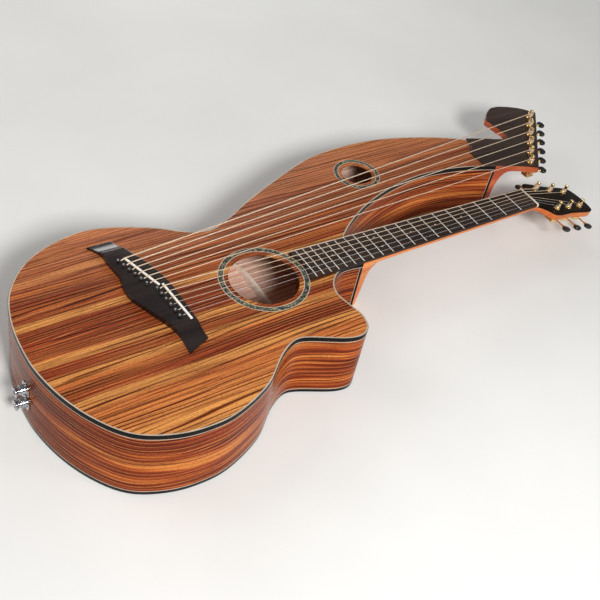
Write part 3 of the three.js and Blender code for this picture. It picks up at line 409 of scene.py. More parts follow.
# The ladder braces: four bars of pale spruce glued across the inside of the back from lining to lining,
# their tops planed to a curve and their ends cut down. One of them shows through the sound hole.
lining_reach, lining_gap, brace_shares = 9, 0.3, (0.19, 0.39, 0.59, 0.786)
brace_width, brace_height, brace_end_height, planed_length, brace_steps = 8, 14, 4, 40, 24
brace_section = [(-1, 0.55), (-0.75, 0.82), (-0.4, 0.96), (0, 1), (0.4, 0.96), (0.75, 0.82), (1, 0.55),
                 (1, 0), (-1, 0)]
spruce = wood("spruce", {0.3: (248, 228, 212), 0.7: (253, 240, 228)}, (238, 226, 216),
              gloss=0.6, lines=0.5, pitch=0.002, turn=(0, 0, math.pi / 2))


def span(loop, x):
    """The lowest and highest crossing of a loop with a line across it."""
    found = [a.y + (b.y - a.y) * (x - a.x) / (b.x - a.x) for a, b in zip(loop, loop[1:] + loop[:1])
             if (a.x - x) * (b.x - x) <= 0 and a.x != b.x]
    return min(found), max(found)


for number, share in enumerate(brace_shares, 1):
    middle = tail_x + share * body_length
    ends = [span(inset(body_loop, lining_reach + lining_gap), middle + side * brace_width / 2)
            for side in (-1, 1)]
    start, end = max(ends[0][0], ends[1][0]), min(ends[0][1], ends[1][1])
    seat = back_z(middle) + back_thickness + gap
    rings = []
    for step in range(brace_steps + 1):
        y = start + (end - start) * step / brace_steps
        near_end = min(1, min(y - start, end - y) / planed_length)
        top = brace_end_height + (brace_height - brace_end_height) * math.sin(near_end * math.pi / 2)
        rings.append([Vector((middle + across * brace_width / 2, y, seat + up * top))
                      for across, up in brace_section])
    fitted(made_of(f"back_brace_{number}", ringed(rings), board_frame, spruce))

# The sides: thin strips of the same wood, bent in one flowing line round the bout, the cutaway and the arm,
# with triangular linings of bare wood glued inside along both edges. The grain runs along the bend.
rim_thickness, lining_height, top_thickness = 2.3, 17, 2.8
black_height, pale_height = 6.9, 8.0
side_wood = wood("side_wood", {0.3: (92, 26, 10), 0.46: (134, 50, 20), 0.57: (174, 84, 34),
                               0.68: (208, 128, 62)}, dark_stain, coords="UV", gloss=0.26, coat=0.02,
                 shine=0.08, lines=0.9, width=0.013, sway=0.01, pitch=0.0064, gleam=0.75)
lengths = [0]
for a, b in zip(body_loop, body_loop[1:] + body_loop[:1]):
    lengths.append(lengths[-1] + (b - a).length)


def rim(section):
    """A frame round the body from a section of inset and height, the outer lower corner first. A height is
    measured up from the back where it is positive, and down from the top otherwise."""
    rings = []
    for depth, height in section:
        rings.append([Vector((*point, back_z(point.x) + height if height > 0 else height))
                      for point in inset(body_loop, depth)])
    return ringed(rings, lengths, True)


edge_line, ledge = binding_height + line_height, binding_width + 0.1
rim_top, rim_low = -top_thickness - 0.1, back_thickness + 0.1
sides = rim([(0, edge_line), (0, -pale_height), (ledge, -pale_height), (ledge, rim_top),
             (lining_reach, rim_top), (rim_thickness, rim_top - lining_height),
             (rim_thickness, rim_low + lining_height), (lining_reach, rim_low), (ledge, rim_low),
             (ledge, edge_line)])
parted(sides, lambda face: face.index >= len(body_loop))
fitted(made_of("sides_rim", sides, board_frame, side_wood, bare_wood), "sides")

# The blocks: mahogany blocks inside the rim, which hold the neck's bolts, the two jacks and the harp head.
# They are glued in before the back goes on, and only their material is made here.
mahogany = wood("mahogany", {0.3: (160, 86, 40), 0.5: (190, 112, 56), 0.7: (212, 140, 78)},
                (196, 160, 140), gloss=0.35, lines=0.5, width=0.03, sway=0.003)


def carried(material, *names):
    """Gives CAD nodes that stay as they are their material."""
    for name in names:
        nodes[name].data.materials.clear()
        nodes[name].data.materials.append(material)


carried(mahogany, "neck_block", "tail_block", "arm_block")

# The crossed braces and the bridge plate: pale spruce bars and a hardwood plate glued under the top.
# They show only through the sound hole, so the solids stay and get their wood here.
carried(wood("brace_spruce", {0.3: (214, 184, 144), 0.7: (232, 208, 172)}, (228, 212, 194), gloss=0.6,
             lines=0.5, pitch=0.002, turn=(0, 0, -0.9)), "crossed_braces", "bridge_plate")

# The soundboard: one plate of straight-grained wood with strong gold, red and brown stripes along the
# strings, thinly lacquered. Two sound holes are cut through it and two grooves let in the rings of shell.
soundhole, soundhole_radius, ring_radii = Vector((134.01, 0)), 50.3, (56.7, 65.3)
arm_hole, arm_hole_radius, arm_ring_radii = Vector((407.93, 158.5)), 25.5, (31, 38.4)
ring_depth, ring_drop, hole_edge = 1.2, 0.005, 0.4
dark_stripe, red_stripe, brown_stripe = (114, 42, 22), (146, 64, 34), (150, 84, 56)
tan_stripe, gold_stripe, bass_tan_with_painted_sheen = (196, 112, 58), (228, 160, 88), (180, 114, 78)
stripe_low, stripe_high = -0.2, 0.24
# Towards the bass side and over the arm the stripes turn to a pale tan, paler still at the far end: partly
# the top's own tone, partly a painted soft reflection.
stripes = [(-195, gold_stripe), (-122, tan_stripe), (-110, gold_stripe), (-101, gold_stripe),
           (-98, red_stripe), (-84, dark_stripe), (-72, tan_stripe), (-66, gold_stripe), (-58, gold_stripe),
           (-55, red_stripe), (-40, dark_stripe), (-38, gold_stripe), (-26, gold_stripe), (-24, red_stripe),
           (-10, dark_stripe), (4, red_stripe), (14, dark_stripe), (28, red_stripe), (31, gold_stripe),
           (41, gold_stripe), (44, red_stripe), (62, tan_stripe), (70, red_stripe), (84, brown_stripe),
           (92, tan_stripe), (98, brown_stripe), (116, bass_tan_with_painted_sheen), (122, brown_stripe), (134, bass_tan_with_painted_sheen),
           (150, brown_stripe), (160, bass_tan_with_painted_sheen), (230, (188, 124, 86))]
stops = [((y / 1000 - stripe_low) / (stripe_high - stripe_low), shade) for y, shade in stripes]
# Over the bass side and the arm the growth lines fade: partly painted reflection washing them out.
striped = wood("striped_top", {0.3: dark_stripe, 0.5: red_stripe, 0.62: tan_stripe, 0.75: gold_stripe},
               (112, 72, 56), gloss=0.32, coat=0.02, lines=1.0, sway=0.004, gleam=0.35, shine=0.1,
               bands=(stripe_low, stripe_high, stops, ((0.66, 1), (0.82, 0.75))))


def turned(profile, ring=False, sides=64):
    """A turned shape about Z from radii and heights, from its lowest point up its outside."""
    mesh = bmesh.new()
    rings = []
    for radius, height in profile:
        angles = [2 * math.pi * i / sides for i in range(sides)] if radius else [0]
        rings.append([mesh.verts.new((radius * math.cos(a), radius * math.sin(a), height)) for a in angles])
    for low, high in zip(rings, rings[1:] + (rings[:1] if ring else [])):
        for i in range(sides):
            j = (i + 1) % sides
            corners = [low[i % len(low)], low[j % len(low)], high[j % len(high)], high[i % len(high)]]
            if len(dict.fromkeys(corners)) > 2:
                mesh.faces.new(dict.fromkeys(corners))
    return mesh


def moved(mesh, *place):
    """A mesh moved by a distance."""
    mesh.transform(Matrix.Translation(place))
    return mesh


def filled(mesh, *loops):
    """Fills the flat ground between a loop of vertices and others inside it."""
    edges = []
    for loop in loops:
        edges += [mesh.edges.get(pair) or mesh.edges.new(pair) for pair in zip(loop, loop[1:] + loop[:1])]
    bmesh.ops.triangle_fill(mesh, edges=edges, use_beauty=True)


def walled(mesh, loops):
    """Joins each loop of vertices to the next."""
    for low, high in zip(loops, loops[1:]):
        for i in range(len(low)):
            mesh.faces.new((low[i - 1], low[i], high[i], high[i - 1]))


def circle(mesh, centre, radius, height, sides=128):
    """A circle of vertices round a centre."""
    angles = [2 * math.pi * i / sides for i in range(sides)]
    return [mesh.verts.new((centre.x + radius * math.cos(a), centre.y + radius * math.sin(a), height))
            for a in angles]


board = bmesh.new()
edge = inset(body_loop, binding_width + gap)
top_loops = [[board.verts.new((*point, 0)) for point in edge]]
low_loops = [[board.verts.new((*point, -top_thickness)) for point in edge]]
walled(board, [low_loops[0], top_loops[0]])
for centre, hole_radius, (inner, outer) in ((soundhole, soundhole_radius, ring_radii),
                                            (arm_hole, arm_hole_radius, arm_ring_radii)):
    steps = [(outer, 0), (outer, -ring_depth), (inner, -ring_depth), (inner, 0),
             (hole_radius + hole_edge, 0), (hole_radius, -hole_edge), (hole_radius, -top_thickness)]
    loops = [circle(board, centre, radius, height) for radius, height in steps]
    walled(board, loops)
    top_loops.append(loops[0])
    low_loops.append(loops[-1])
filled(board, *top_loops)
filled(board, *low_loops)
bmesh.ops.recalc_face_normals(board, faces=board.faces)
parted(board, lambda face: face.normal.z < -0.5)
fitted(made_of("striped_soundboard", board, board_frame, striped, bare_wood), "soundboard")

# The bindings: black plastic strips glued into a ledge round the top and the back, polished with the
# lacquer. A pale line lies inside the top one, and thin pale lines part both from the sides.
purfling_start, purfling_depth = 0.6, 1.0


def glossy(name, shade, other, rough=0.12, coat=0.3, shine=0.25):
    """Polished plastic or bone, with faint clouds in its colour and the marks of handling in its gloss."""
    made, tree, shader = surface(name, {"Specular IOR Level": shine, "Coat Weight": coat,
                                        "Coat Roughness": 0.05})
    source = add(tree, "ShaderNodeTexCoord").outputs["Object"]
    base = ramp(tree, noise(tree, source, 0.02, detail=4), (0.3, shade), (0.7, other)).outputs[0]
    marks = noise(tree, source, 0.004, detail=5, rough=0.7)
    clad(tree, shader, base, marks, rough - 0.05, rough + 0.14, marks, 0.05)
    return made


black_binding = glossy("black_binding", (8, 6, 6), (15, 12, 11), 0.14, 0.0, 0.12)
pale_line = glossy("pale_line", (160, 147, 131), (184, 171, 154), 0.3, 0.0)
binding_sections = {
    "binding_top_strip": ([(0, -black_height), (0, -0.9), (0.08, -0.5), (0.25, -0.2), (0.42, -0.05),
                           (0.56, -0.01), (purfling_start, -purfling_depth),
                           (binding_width, -purfling_depth), (binding_width, -black_height)], black_binding),
    "purfling_top": ([(purfling_start + gap, gap - purfling_depth), (purfling_start, -0.01),
                      (binding_width, -0.01), (binding_width, gap - purfling_depth)], pale_line),
    "side_line_top": ([(gap, -pale_height), (gap, -black_height), (1, -black_height), (1, -pale_height)],
                      pale_line),
    "side_line_back": ([(gap, binding_height), (gap, edge_line), (1, edge_line), (1, binding_height)],
                       pale_line),
    "binding_back_strip": ([(0.55, 0.001), (0.18, 0.3), (0, 0.9), (0, binding_height),
                            (binding_width, binding_height), (binding_width, 0.001)], black_binding),
}
for name, (section, material) in binding_sections.items():
    fitted(made_of(name, rim(section), board_frame, material),
           name.removesuffix("_strip") if name.startswith("binding") else None)

# The end strips: upright black strips with a pale line beside them, let into the sides where the arm meets
# the harp head and where the neck's heel meets the body.
strip_width, strip_line, strip_proud = 4, 0.8, 0.08


def upright(name, corner, way, start, stop, proud, material):
    """A strip on the sides from binding to binding, between two lengths from a corner of the body."""
    nearest = min(range(len(body_loop)), key=lambda i: (body_loop[i] - corner).length)
    walk = [body_loop[(nearest + way * i) % len(body_loop)] for i in range(5)]
    out = Vector((walk[1].y - walk[0].y, walk[0].x - walk[1].x)).normalized() * way
    rings = []
    for length in (start, (start + stop) / 2, stop):
        left, step = length, 0
        while left > (walk[step + 1] - walk[step]).length:
            left -= (walk[step + 1] - walk[step]).length
            step += 1
        point = walk[step] + (walk[step + 1] - walk[step]).normalized() * left
        inner, outer = point - out, point + out * proud
        low, high = back_z(point.x) + edge_line - gap, gap - pale_height
        rings.append([Vector((*inner, low)), Vector((*outer, low)), Vector((*outer, high)),
                      Vector((*inner, high))])
    strip = ringed(rings)
    bmesh.ops.recalc_face_normals(strip, faces=strip.faces)
    fitted(made_of(name, strip, board_frame, material))


joint_half, (arm_inner, arm_outer) = 28, span(body_loop, arm_end_x - 0.01)
for name, corner, way in (("arm_inner", (arm_end_x, arm_inner), -1),
                          ("arm_outer", (arm_end_x, arm_outer), 1),
                          ("heel_treble", (joint_x, -joint_half), -1),
                          ("heel_bass", (joint_x, joint_half), 1)):
    for kind, start, stop, material in (("strip", 0.1, strip_width, black_binding),
                                        ("line", strip_width, strip_width + strip_line, pale_line)):
        upright(f"{name}_{kind}", Vector(corner), way, start, stop, strip_proud, material)

# The rosettes: rings of small blocks of dyed shell between two pale lines, let into grooves round the
# sound holes and levelled with the top.


def shell_ring(name, centre, radii, blocks):
    """Rows of cut shell round a centre, with its own colour and tilt to each block."""
    made, tree, shader = surface(name, {"Roughness": 0.18, "Coat Weight": 0.2})
    source = add(tree, "ShaderNodeTexCoord").outputs["Object"]
    offset = board_frame @ Vector((*centre, 0))
    local = vectors(tree, "SUBTRACT", source, (offset.x, offset.y, 0))
    parts = split(tree, local)
    out = vectors(tree, "LENGTH", bundle(tree, parts[0], parts[1])).outputs[1]
    share = share_of(tree, out, radii[0] / 1000, radii[1] / 1000)
    turn = sums(tree, "MULTIPLY", sums(tree, "ARCTAN2", parts[1], parts[0]), blocks / (2 * math.pi))
    rows = sums(tree, "MULTIPLY", share, 3.0)
    cells = add(tree, "ShaderNodeTexVoronoi", {"Vector": bundle(tree, turn, rows), "Scale": 1.0,
                                               "Randomness": 0.75}).outputs
    tint = add(tree, "ShaderNodeSeparateColor", {0: cells["Color"]}).outputs[0]
    wave = noise(tree, local, 0.0022, (1, 1, 1), 4, 0.7)
    patches = sums(tree, "MULTIPLY_ADD", noise(tree, local, 0.011, detail=2), 0.9, -0.45)
    blend = sums(tree, "ADD", sums(tree, "MULTIPLY_ADD", wave, 0.5, tint), patches)
    shell = ramp(tree, blend, (0.22, (18, 22, 20)), (0.46, (54, 60, 48)), (0.62, (104, 104, 78)),
                 (0.76, (62, 74, 76)), (0.9, (166, 152, 112)), (1.0, (42, 48, 66)))
    grout = ramp(tree, cells["Distance"], (0.6, 0), (0.8, 0.6))
    shell = mix(tree, grout, shell, colour(22, 22, 20))
    lines = ramp(tree, share, (0, 1), (0.1, 1), (0.11, 0), (0.89, 0), (0.9, 1), (1, 1))
    tree.links.new(mix(tree, lines, shell, colour(190, 178, 154)), shader.inputs["Base Color"])
    bump = add(tree, "ShaderNodeBump", {"Height": wave, "Strength": 0.1, "Distance": 0.0001})
    tree.links.new(bump.outputs[0], shader.inputs["Normal"])
    return made


for name, centre, radii, blocks in (("rosette_main", soundhole, ring_radii, 150),
                                    ("rosette_arm", arm_hole, arm_ring_radii, 92)):
    low, high = gap - ring_depth, -ring_drop
    inner, outer = radii[0] + gap, radii[1] - gap
    ring = turned([(outer, low), (outer, high), (inner, high), (inner, low)], True, 128)
    fitted(made_of(f"{name}_ring", moved(ring, *centre, 0), board_frame,
                   shell_ring(f"{name}_shell", centre, radii, blocks)), name)

# The bridge: one long asymmetric piece of near-black wood, glued to the top. Its middle is raised and flat,
# and both ends are scooped down to thin wings, with a crisp line where each scoop starts.
bridge_low, bridge_high = 0.3, 9.5
scoop_starts, scoop_length, scoop_curve, wing_height = (-44.8, 119.9), 24, 2.6, 3.4
dark_wood = wood("dark_wood", {0.3: (20, 14, 13), 0.7: (42, 30, 28)}, (165, 160, 160),
                 gloss=0.2, coat=0.1, lines=0.35, width=0.012, sway=0.002, pitch=0.003, shine=0.5)


def bridge_top(y):
    """The height of the bridge's top over its length."""
    past = max(scoop_starts[0] - y, y - scoop_starts[1], 0)
    left = max(0, 1 - past / scoop_length)
    return wing_height + (bridge_high - wing_height) * left ** scoop_curve


def sliced(mesh, along, stations):
    """Cuts the faces of a mesh at stations along an axis, so that its heights can follow a curve."""
    normal = Vector((1, 0, 0)) if along == "x" else Vector((0, 1, 0))
    for station in stations:
        bmesh.ops.bisect_plane(mesh, geom=[*mesh.verts, *mesh.edges, *mesh.faces], dist=0.0001,
                               plane_co=normal * station, plane_no=normal)
    return mesh


bridge_loop = faired(outline("bridge", board_frame, bridge_low), 1.5, 45, 4)
bevel_ends, bevel_width, bevel_drop, edge_radius = (-30, 112), 6, 2.4, 1.0
shallow, wide = inset(bridge_loop, edge_radius), inset(bridge_loop, bevel_width)
columns = []
for point, eased, deep_in in zip(bridge_loop, shallow, wide):
    along = (point.y - bevel_ends[0]) / (bevel_ends[1] - bevel_ends[0])
    faces_tail = (eased - point).x > edge_radius * 0.5
    lens = math.sin(math.pi * along) ** 0.7 if 0 < along < 1 and faces_tail else 0
    bevel = lens * (bevel_drop - edge_radius)
    top = bridge_high - edge_radius - bevel
    inner = eased.lerp(deep_in, max(lens, 0.05))
    columns.append([Vector((*place, height)) for place, height in (
        (point, bridge_low), (point, top), (point.lerp(eased, 0.13), top + edge_radius * 0.5),
        (point.lerp(eased, 0.5), top + edge_radius * 0.87),
        (eased.lerp(inner, 0.12), min(bridge_high, top + edge_radius + 0.12 * bevel)),
        (inner.lerp(eased, -0.02), bridge_high))])
bridge = ringed(list(zip(*columns)))
scoop_steps = [scoop_length * (i / 14) ** 1.4 for i in range(15)]
sliced(bridge, "y", [scoop_starts[0] - step for step in scoop_steps])
sliced(bridge, "y", [scoop_starts[1] + step for step in scoop_steps])
for vertex in bridge.verts:
    if vertex.co.z > bridge_low + 1:
        vertex.co.z += bridge_top(vertex.co.y) - bridge_high
fitted(made_of("winged_bridge", bridge, board_frame, dark_wood, sharp=18), "bridge")

# The saddles: two strips of bone standing in slots in the bridge, rounded on top, over which the strings
# bend. The one under the sub-bass strings slants more.
saddle_thickness, saddle_low, saddle_high = 3, 4.8, 11.5
guitar_saddle = (Vector((-6.7, 34.5)), Vector((-1.7, -38.61)))
subbass_saddle = (Vector((-31.7, 99.4)), Vector((-11.7, 34.41)))
bone = glossy("bone", (226, 218, 204), (242, 236, 225), 0.32, 0.1)


def bar(start, end, thickness):
    """A long rectangle round a line, counter-clockwise."""
    side = (end - start).normalized()
    side = Vector((side.y, -side.x)) * thickness / 2
    return [start + side, end + side, end - side, start - side]


for name, (start, end) in (("saddle_guitar", guitar_saddle), ("saddle_subbass", subbass_saddle)):
    saddle = slab(faired(bar(start, end, saddle_thickness), 1, 50, 0), saddle_low, saddle_high, 0, 0.9)
    fitted(made_of(f"{name}_bone", saddle, board_frame, bone), name)

# The bridge pins: twelve dark pins, each with a pale dot, pushed into tapered holes behind the saddles to
# hold the ball ends of the strings. Each row is laid out from its first pin to its last.
pin_radius, pin_height, pin_setback, collar_height, pin_dot = 3.2, 3.2, 11.5, 1.2, 1.1
saddle_spread, subbass_spread, subbass_inset = 57, 54, 2.8


def on_saddle(saddle, y):
    """The point of a saddle's line at a place across the strings."""
    start, end = saddle
    return start.lerp(end, (y - start.y) / (end.y - start.y))


guitar_courses = [on_saddle(guitar_saddle, saddle_spread * (0.5 - i / 5)) for i in range(6)]
subbass_outer = subbass_saddle[0].y - subbass_inset
subbass_courses = [on_saddle(subbass_saddle, subbass_outer - subbass_spread * i / 5) for i in range(6)]


def tree_for(name, **inputs):
    """An empty tree of Geometry Nodes with named inputs, and its input and output nodes."""
    tree = bpy.data.node_groups.new(name, "GeometryNodeTree")
    tree.interface.new_socket("Geometry", in_out="INPUT", socket_type="NodeSocketGeometry")
    for key, kind in inputs.items():
        tree.interface.new_socket(key, in_out="INPUT", socket_type=f"NodeSocket{kind}")
    tree.interface.new_socket("Geometry", in_out="OUTPUT", socket_type="NodeSocketGeometry")
    return tree, tree.nodes.new("NodeGroupInput").outputs, tree.nodes.new("NodeGroupOutput")


def grown(name, tree, points, edges=(), **sizes):
    """What a tree of Geometry Nodes makes of some points, with its named inputs set, as a mesh."""
    data = bpy.data.meshes.new(name)
    data.from_pydata([tuple(point) for point in points], edges, [])
    seed = bpy.data.objects.new(name, data)
    bpy.context.collection.objects.link(seed)
    modifier = seed.modifiers.new("tree", "NODES")
    modifier.node_group = tree
    for item in tree.interface.items_tree:
        if item.item_type == "SOCKET" and item.in_out == "INPUT" and item.name in sizes:
            modifier[item.identifier] = sizes[item.name]
    bpy.context.view_layer.update()
    made = bpy.data.meshes.new_from_object(seed.evaluated_get(bpy.context.evaluated_depsgraph_get()))
    bpy.data.objects.remove(seed)
    return made


def settled(name, data, place):
    """An object from a mesh that a tree made in a frame."""
    mesh = bmesh.new()
    mesh.from_mesh(data)
    return made_of(name, mesh, place, *data.materials)


def grouped(tree, *parts):
    """Several geometries as one."""
    made = add(tree, "GeometryNodeJoinGeometry")
    for part in parts:
        tree.links.new(part.outputs[0], made.inputs[0])
    return made


def covered(tree, geometry, material):
    """A geometry in a material."""
    return add(tree, "GeometryNodeSetMaterial", {"Geometry": geometry, "Material": material})


def shifted(tree, geometry, **changes):
    """A geometry moved, turned or scaled."""
    return add(tree, "GeometryNodeTransform", {"Geometry": geometry, **changes})


def strewn(tree, points, piece, **sizes):
    """Real copies of a piece on points."""
    made = add(tree, "GeometryNodeInstanceOnPoints", {"Points": points, "Instance": piece, **sizes})
    return add(tree, "GeometryNodeRealizeInstances", {"Geometry": made})


pin_tree, given, result = tree_for("pin_rows", Radius="Float", Collar="Float", Height="Float", Dot="Float",
                                   Wood="Material", Shell="Material")
collar = add(pin_tree, "GeometryNodeMeshCone", {
    "Vertices": 24, "Radius Top": given["Radius"], "Depth": given["Collar"],
    "Radius Bottom": sums(pin_tree, "MULTIPLY", given["Radius"], 0.82)})
dome = add(pin_tree, "GeometryNodeMeshUVSphere", {"Segments": 24, "Rings": 12, "Radius": given["Radius"]})
dome = shifted(pin_tree, dome, Translation=bundle(pin_tree, 0, 0, given["Collar"]), Scale=(1, 1, 0.55))
head = covered(pin_tree, grouped(pin_tree, dome, collar), given["Wood"])
dot = add(pin_tree, "GeometryNodeMeshCylinder", {"Vertices": 20, "Radius": given["Dot"], "Depth": 0.4})
dot_height = sums(pin_tree, "SUBTRACT", given["Height"], 0.5)
dot = shifted(pin_tree, dot, Translation=bundle(pin_tree, 0, 0, dot_height))
pin = grouped(pin_tree, head, covered(pin_tree, dot, given["Shell"]))
pin_tree.links.new(strewn(pin_tree, given["Geometry"], pin).outputs[0], result.inputs[0])
pin_wood = glossy("pin_wood", (16, 13, 12), (28, 24, 22), 0.12, 0.5)
pins = grown("pins", pin_tree, [(point.x - pin_setback, point.y, bridge_high + 0.1)
                                for point in guitar_courses + subbass_courses],
             Radius=pin_radius, Collar=collar_height, Height=pin_height, Dot=pin_dot, Wood=pin_wood,
             Shell=bone)
fitted(settled("bridge_pins", pins, board_frame))

# The neck: mahogany, carved in one piece from the heel cap up the heel, along the shaft and into the tilted
# headstock. It is drawn as rings from the body's joint up, each given by its ends, its lowest point and how
# round it is.
nut_width, octave_width, nut_far_x = 44.5, 54.7, 652.7
head_tilt, head_thickness, veneer = math.radians(15.9), 13, 2
head_frame = board_frame @ Matrix.Translation((nut_far_x, 0, 0)) @ Matrix.Rotation(head_tilt, 4, "Y")
neck_x = joint_x + 0.3


def board_half(x):
    """Half the width of the fingerboard at a place along it."""
    return (nut_width + (octave_width - nut_width) * (scale_length - x) / (scale_length / 2)) / 2


heel_depth = -back_z(neck_x + 31) - 0.2
neck_keys = [
    # end x and z, lowest point x and z, half width, roundness
    (0, -heel_depth, 28.5, -heel_depth, 15, 0.7), (0, -92, 29.6, -92, 15.8, 0.7),
    (0, -78, 30.8, -78, 17.2, 0.7), (0, -64, 31.6, -64, 18.7, 0.7), (0, -50, 32.4, -50, 20.4, 0.7),
    (0, -38, 33.6, -37.5, 22.2, 0.72), (0, -27, 36, -29, 24.2, 0.75), (0, -17, 39.6, -23.6, 26, 0.78),
    (0, -8, 44.5, -20.4, 27.3, 0.8), (0, 0, 51, -18.9, board_half(neck_x), 0.83),
    (14, 0, 60, -18.2, board_half(neck_x + 14), 0.85), (34, 0, 72, -17.9, board_half(neck_x + 34), 0.87),
    (64, 0, 90, -17.6, board_half(neck_x + 64), 0.9), (110, 0, 120, -17.1, board_half(neck_x + 110), 0.92),
    (180, 0, 180, -16.3, board_half(neck_x + 180), 0.92),
    (250, 0, 250, -15.5, board_half(neck_x + 250), 0.92),
    (320, 0, 319, -14.6, board_half(neck_x + 320), 0.92), (363.3, 0, 359.4, -14.2, nut_width / 2, 0.92),
]
bow_angles = [math.pi * i / 32 - math.pi / 2 for i in range(33)]


def bow(end, lowest, half, roundness, width_roundness=1.0):
    """A ring of the neck: a bow from one end of its flat top round its lowest point to the other."""
    ring = []
    for angle in bow_angles:
        down = max(math.cos(angle), 0) ** roundness
        side = math.copysign(abs(math.sin(angle)) ** width_roundness, angle)
        ring.append(Vector((end.x + (lowest.x - end.x) * down, half * side,
                            end.z + (lowest.z - end.z) * down)))
    return ring


neck_rings = []
for key in even(spline([Vector(key) for key in neck_keys], False), 3.5, False):
    end = Vector((neck_x + key[0], 0, key[1]))
    lowest = Vector((neck_x + key[2], 0, key[3]))
    neck_rings.append(bow(end, lowest, key[4], key[5]))
head_loop = faired(outline("head_veneer", head_frame, 0), 1.5, 60, 2)
head_length = max(point.x for point in head_loop)
head_in_board = board_frame.inverted() @ head_frame
blend_length, volute_rise, volute_length = 26, 1.77, 18
head_places = [0.1, *range(2, 148, 2), 148.5, 150, 151.5, 153, 154.2, 155.2, 156, 156.6, head_length - 0.1]
head_start = min(point.x for point in head_loop) + 0.05
for x in head_places:
    blend = min(1, x / blend_length) ** 0.7
    half = span(head_loop, max(x, head_start))[1]
    depth = head_thickness + volute_rise * max(0, 1 - x / volute_length) ** 2
    end, lowest = Vector((x, 0, -veneer - gap)), Vector((x, 0, -depth))
    ring = bow(end, lowest, half, 0.92 - 0.78 * blend, 1 - 0.86 * blend)
    neck_rings.append([head_in_board @ point for point in ring])
neck_wood = wood("neck_wood", {0.3: (188, 98, 48), 0.5: (212, 122, 64), 0.7: (230, 146, 84)},
                 (205, 172, 150), gloss=0.36, coat=0.05, shine=0.15, lines=0.35, width=0.03, sway=0.003)
neck = made_of("carved_neck", ringed([ring[::-1] for ring in neck_rings]), board_frame, neck_wood)
fitted(neck, "neck")

# The truss rod: a steel rod in a channel under the fingerboard. Nothing of it shows.


def metal(name, shade, other, rough=0.18, scratch=0.08):
    """Plated or bare metal with clouds of tarnish and fine scratches in its gloss."""
    made, tree, shader = surface(name, {"Metallic": 1})
    source = add(tree, "ShaderNodeTexCoord").outputs["Object"]
    base = ramp(tree, noise(tree, source, 0.006, detail=4), (0.35, shade), (0.68, other)).outputs[0]
    marks = noise(tree, source, 0.0006, (0.25, 1, 1), 3, 0.7)
    clad(tree, shader, base, marks, rough - scratch / 2, rough + scratch, marks, 0.04)
    return made


carried(metal("rod_steel", (120, 120, 122), (150, 150, 152), 0.4), "truss_rod")

# The fingerboard: a tapered board of dark wood with a slightly crowned top, glued to the neck. It lies over
# the body as far as the rosette, whose curve its end follows.
board_low, board_high, crown_radius, board_past_scale = 0.3, 5.6, 600, 0.95


def crown(y):
    """How far the crowned top lies below its middle."""
    return -y * y / (2 * crown_radius)


fingerboard_wood = wood("fingerboard_wood", {0.3: (38, 27, 23), 0.7: (64, 49, 42)}, (160, 148, 142),
                        gloss=0.42, shine=0.15, lines=0.6, width=0.014, sway=0.002, pitch=0.003)
board_loop = faired(outline("fingerboard", board_frame, board_low), 2, 45, 0)
for point in board_loop:
    if point.x > scale_length - 0.5:
        point.x += board_past_scale
fingerboard = sliced(slab(board_loop, board_low, board_high, 0, 0.4), "y", range(-24, 25, 6))
for vertex in fingerboard.verts:
    if vertex.co.z > board_low + 1:
        vertex.co.z += crown(vertex.co.y)
fingerboard = made_of("crowned_fingerboard", fingerboard, board_frame, fingerboard_wood)
fitted(fingerboard, "fingerboard")

# The frets: twenty nickel wires pressed into slots across the board, set out by the scale rule, each as
# wide as the board is there and bent to its crown.
fret_tree, given, result = tree_for("frets", Count="Int", Octave="Int", Scale="Float", Width="Float",
                                    Widening="Float", Wire="Float", Crown="Float", Bend="Float",
                                    Level="Float", Metal="Material")
number = sums(fret_tree, "ADD", add(fret_tree, "GeometryNodeInputIndex"), 1)
halvings = sums(fret_tree, "DIVIDE", number, sums(fret_tree, "MULTIPLY", given["Octave"], -1))
left = sums(fret_tree, "POWER", 2, halvings)
gone = sums(fret_tree, "SUBTRACT", 1, left)
wide = sums(fret_tree, "MULTIPLY_ADD", gone, given["Widening"], given["Width"])
place = bundle(fret_tree, sums(fret_tree, "MULTIPLY", left, given["Scale"]), 0, given["Level"])
places = add(fret_tree, "GeometryNodeMeshLine", {"Count": given["Count"], "Offset": (0, 0, 0)})
places = add(fret_tree, "GeometryNodeSetPosition", {"Geometry": places, "Position": place})
wire = add(fret_tree, "GeometryNodeMeshCylinder", {"Vertices": 16, "Side Segments": 12, "Radius": 1,
                                                   "Depth": 1})
wire = shifted(fret_tree, wire, Rotation=(math.pi / 2, 0, 0))
half_wire = sums(fret_tree, "DIVIDE", given["Wire"], 2)
wires = strewn(fret_tree, places, wire, Scale=bundle(fret_tree, half_wire, wide, given["Crown"]))
across = split(fret_tree, add(fret_tree, "GeometryNodeInputPosition"))[1]
drop = sums(fret_tree, "DIVIDE", sums(fret_tree, "MULTIPLY", across, across), given["Bend"])
offset = bundle(fret_tree, 0, 0, sums(fret_tree, "MULTIPLY", drop, -0.5))
wires = add(fret_tree, "GeometryNodeSetPosition", {"Geometry": wires, "Offset": offset})
fret_tree.links.new(covered(fret_tree, wires, given["Metal"]).outputs[0], result.inputs[0])
nickel = metal("nickel_wire", (212, 206, 196), (234, 228, 218), 0.24)
frets = grown("frets", fret_tree, [(0, 0, 0)], Count=20, Octave=octave, Scale=float(scale_length),
              Width=nut_width - 0.5, Widening=2 * (octave_width - nut_width), Wire=2.2, Crown=1.05,
              Bend=float(crown_radius), Level=board_high, Metal=nickel)
fitted(settled("fret_wires", frets, board_frame))

# The position dots: small discs of pale shell let into the board between the frets, two at the octave.
dot_tree, given, result = tree_for("dots", Radius="Float", Thickness="Float", Shell="Material")
disc = add(dot_tree, "GeometryNodeMeshCylinder", {"Vertices": 24, "Radius": given["Radius"],
                                                  "Depth": given["Thickness"]})
discs = covered(dot_tree, strewn(dot_tree, given["Geometry"], disc), given["Shell"])
dot_tree.links.new(discs.outputs[0], result.inputs[0])


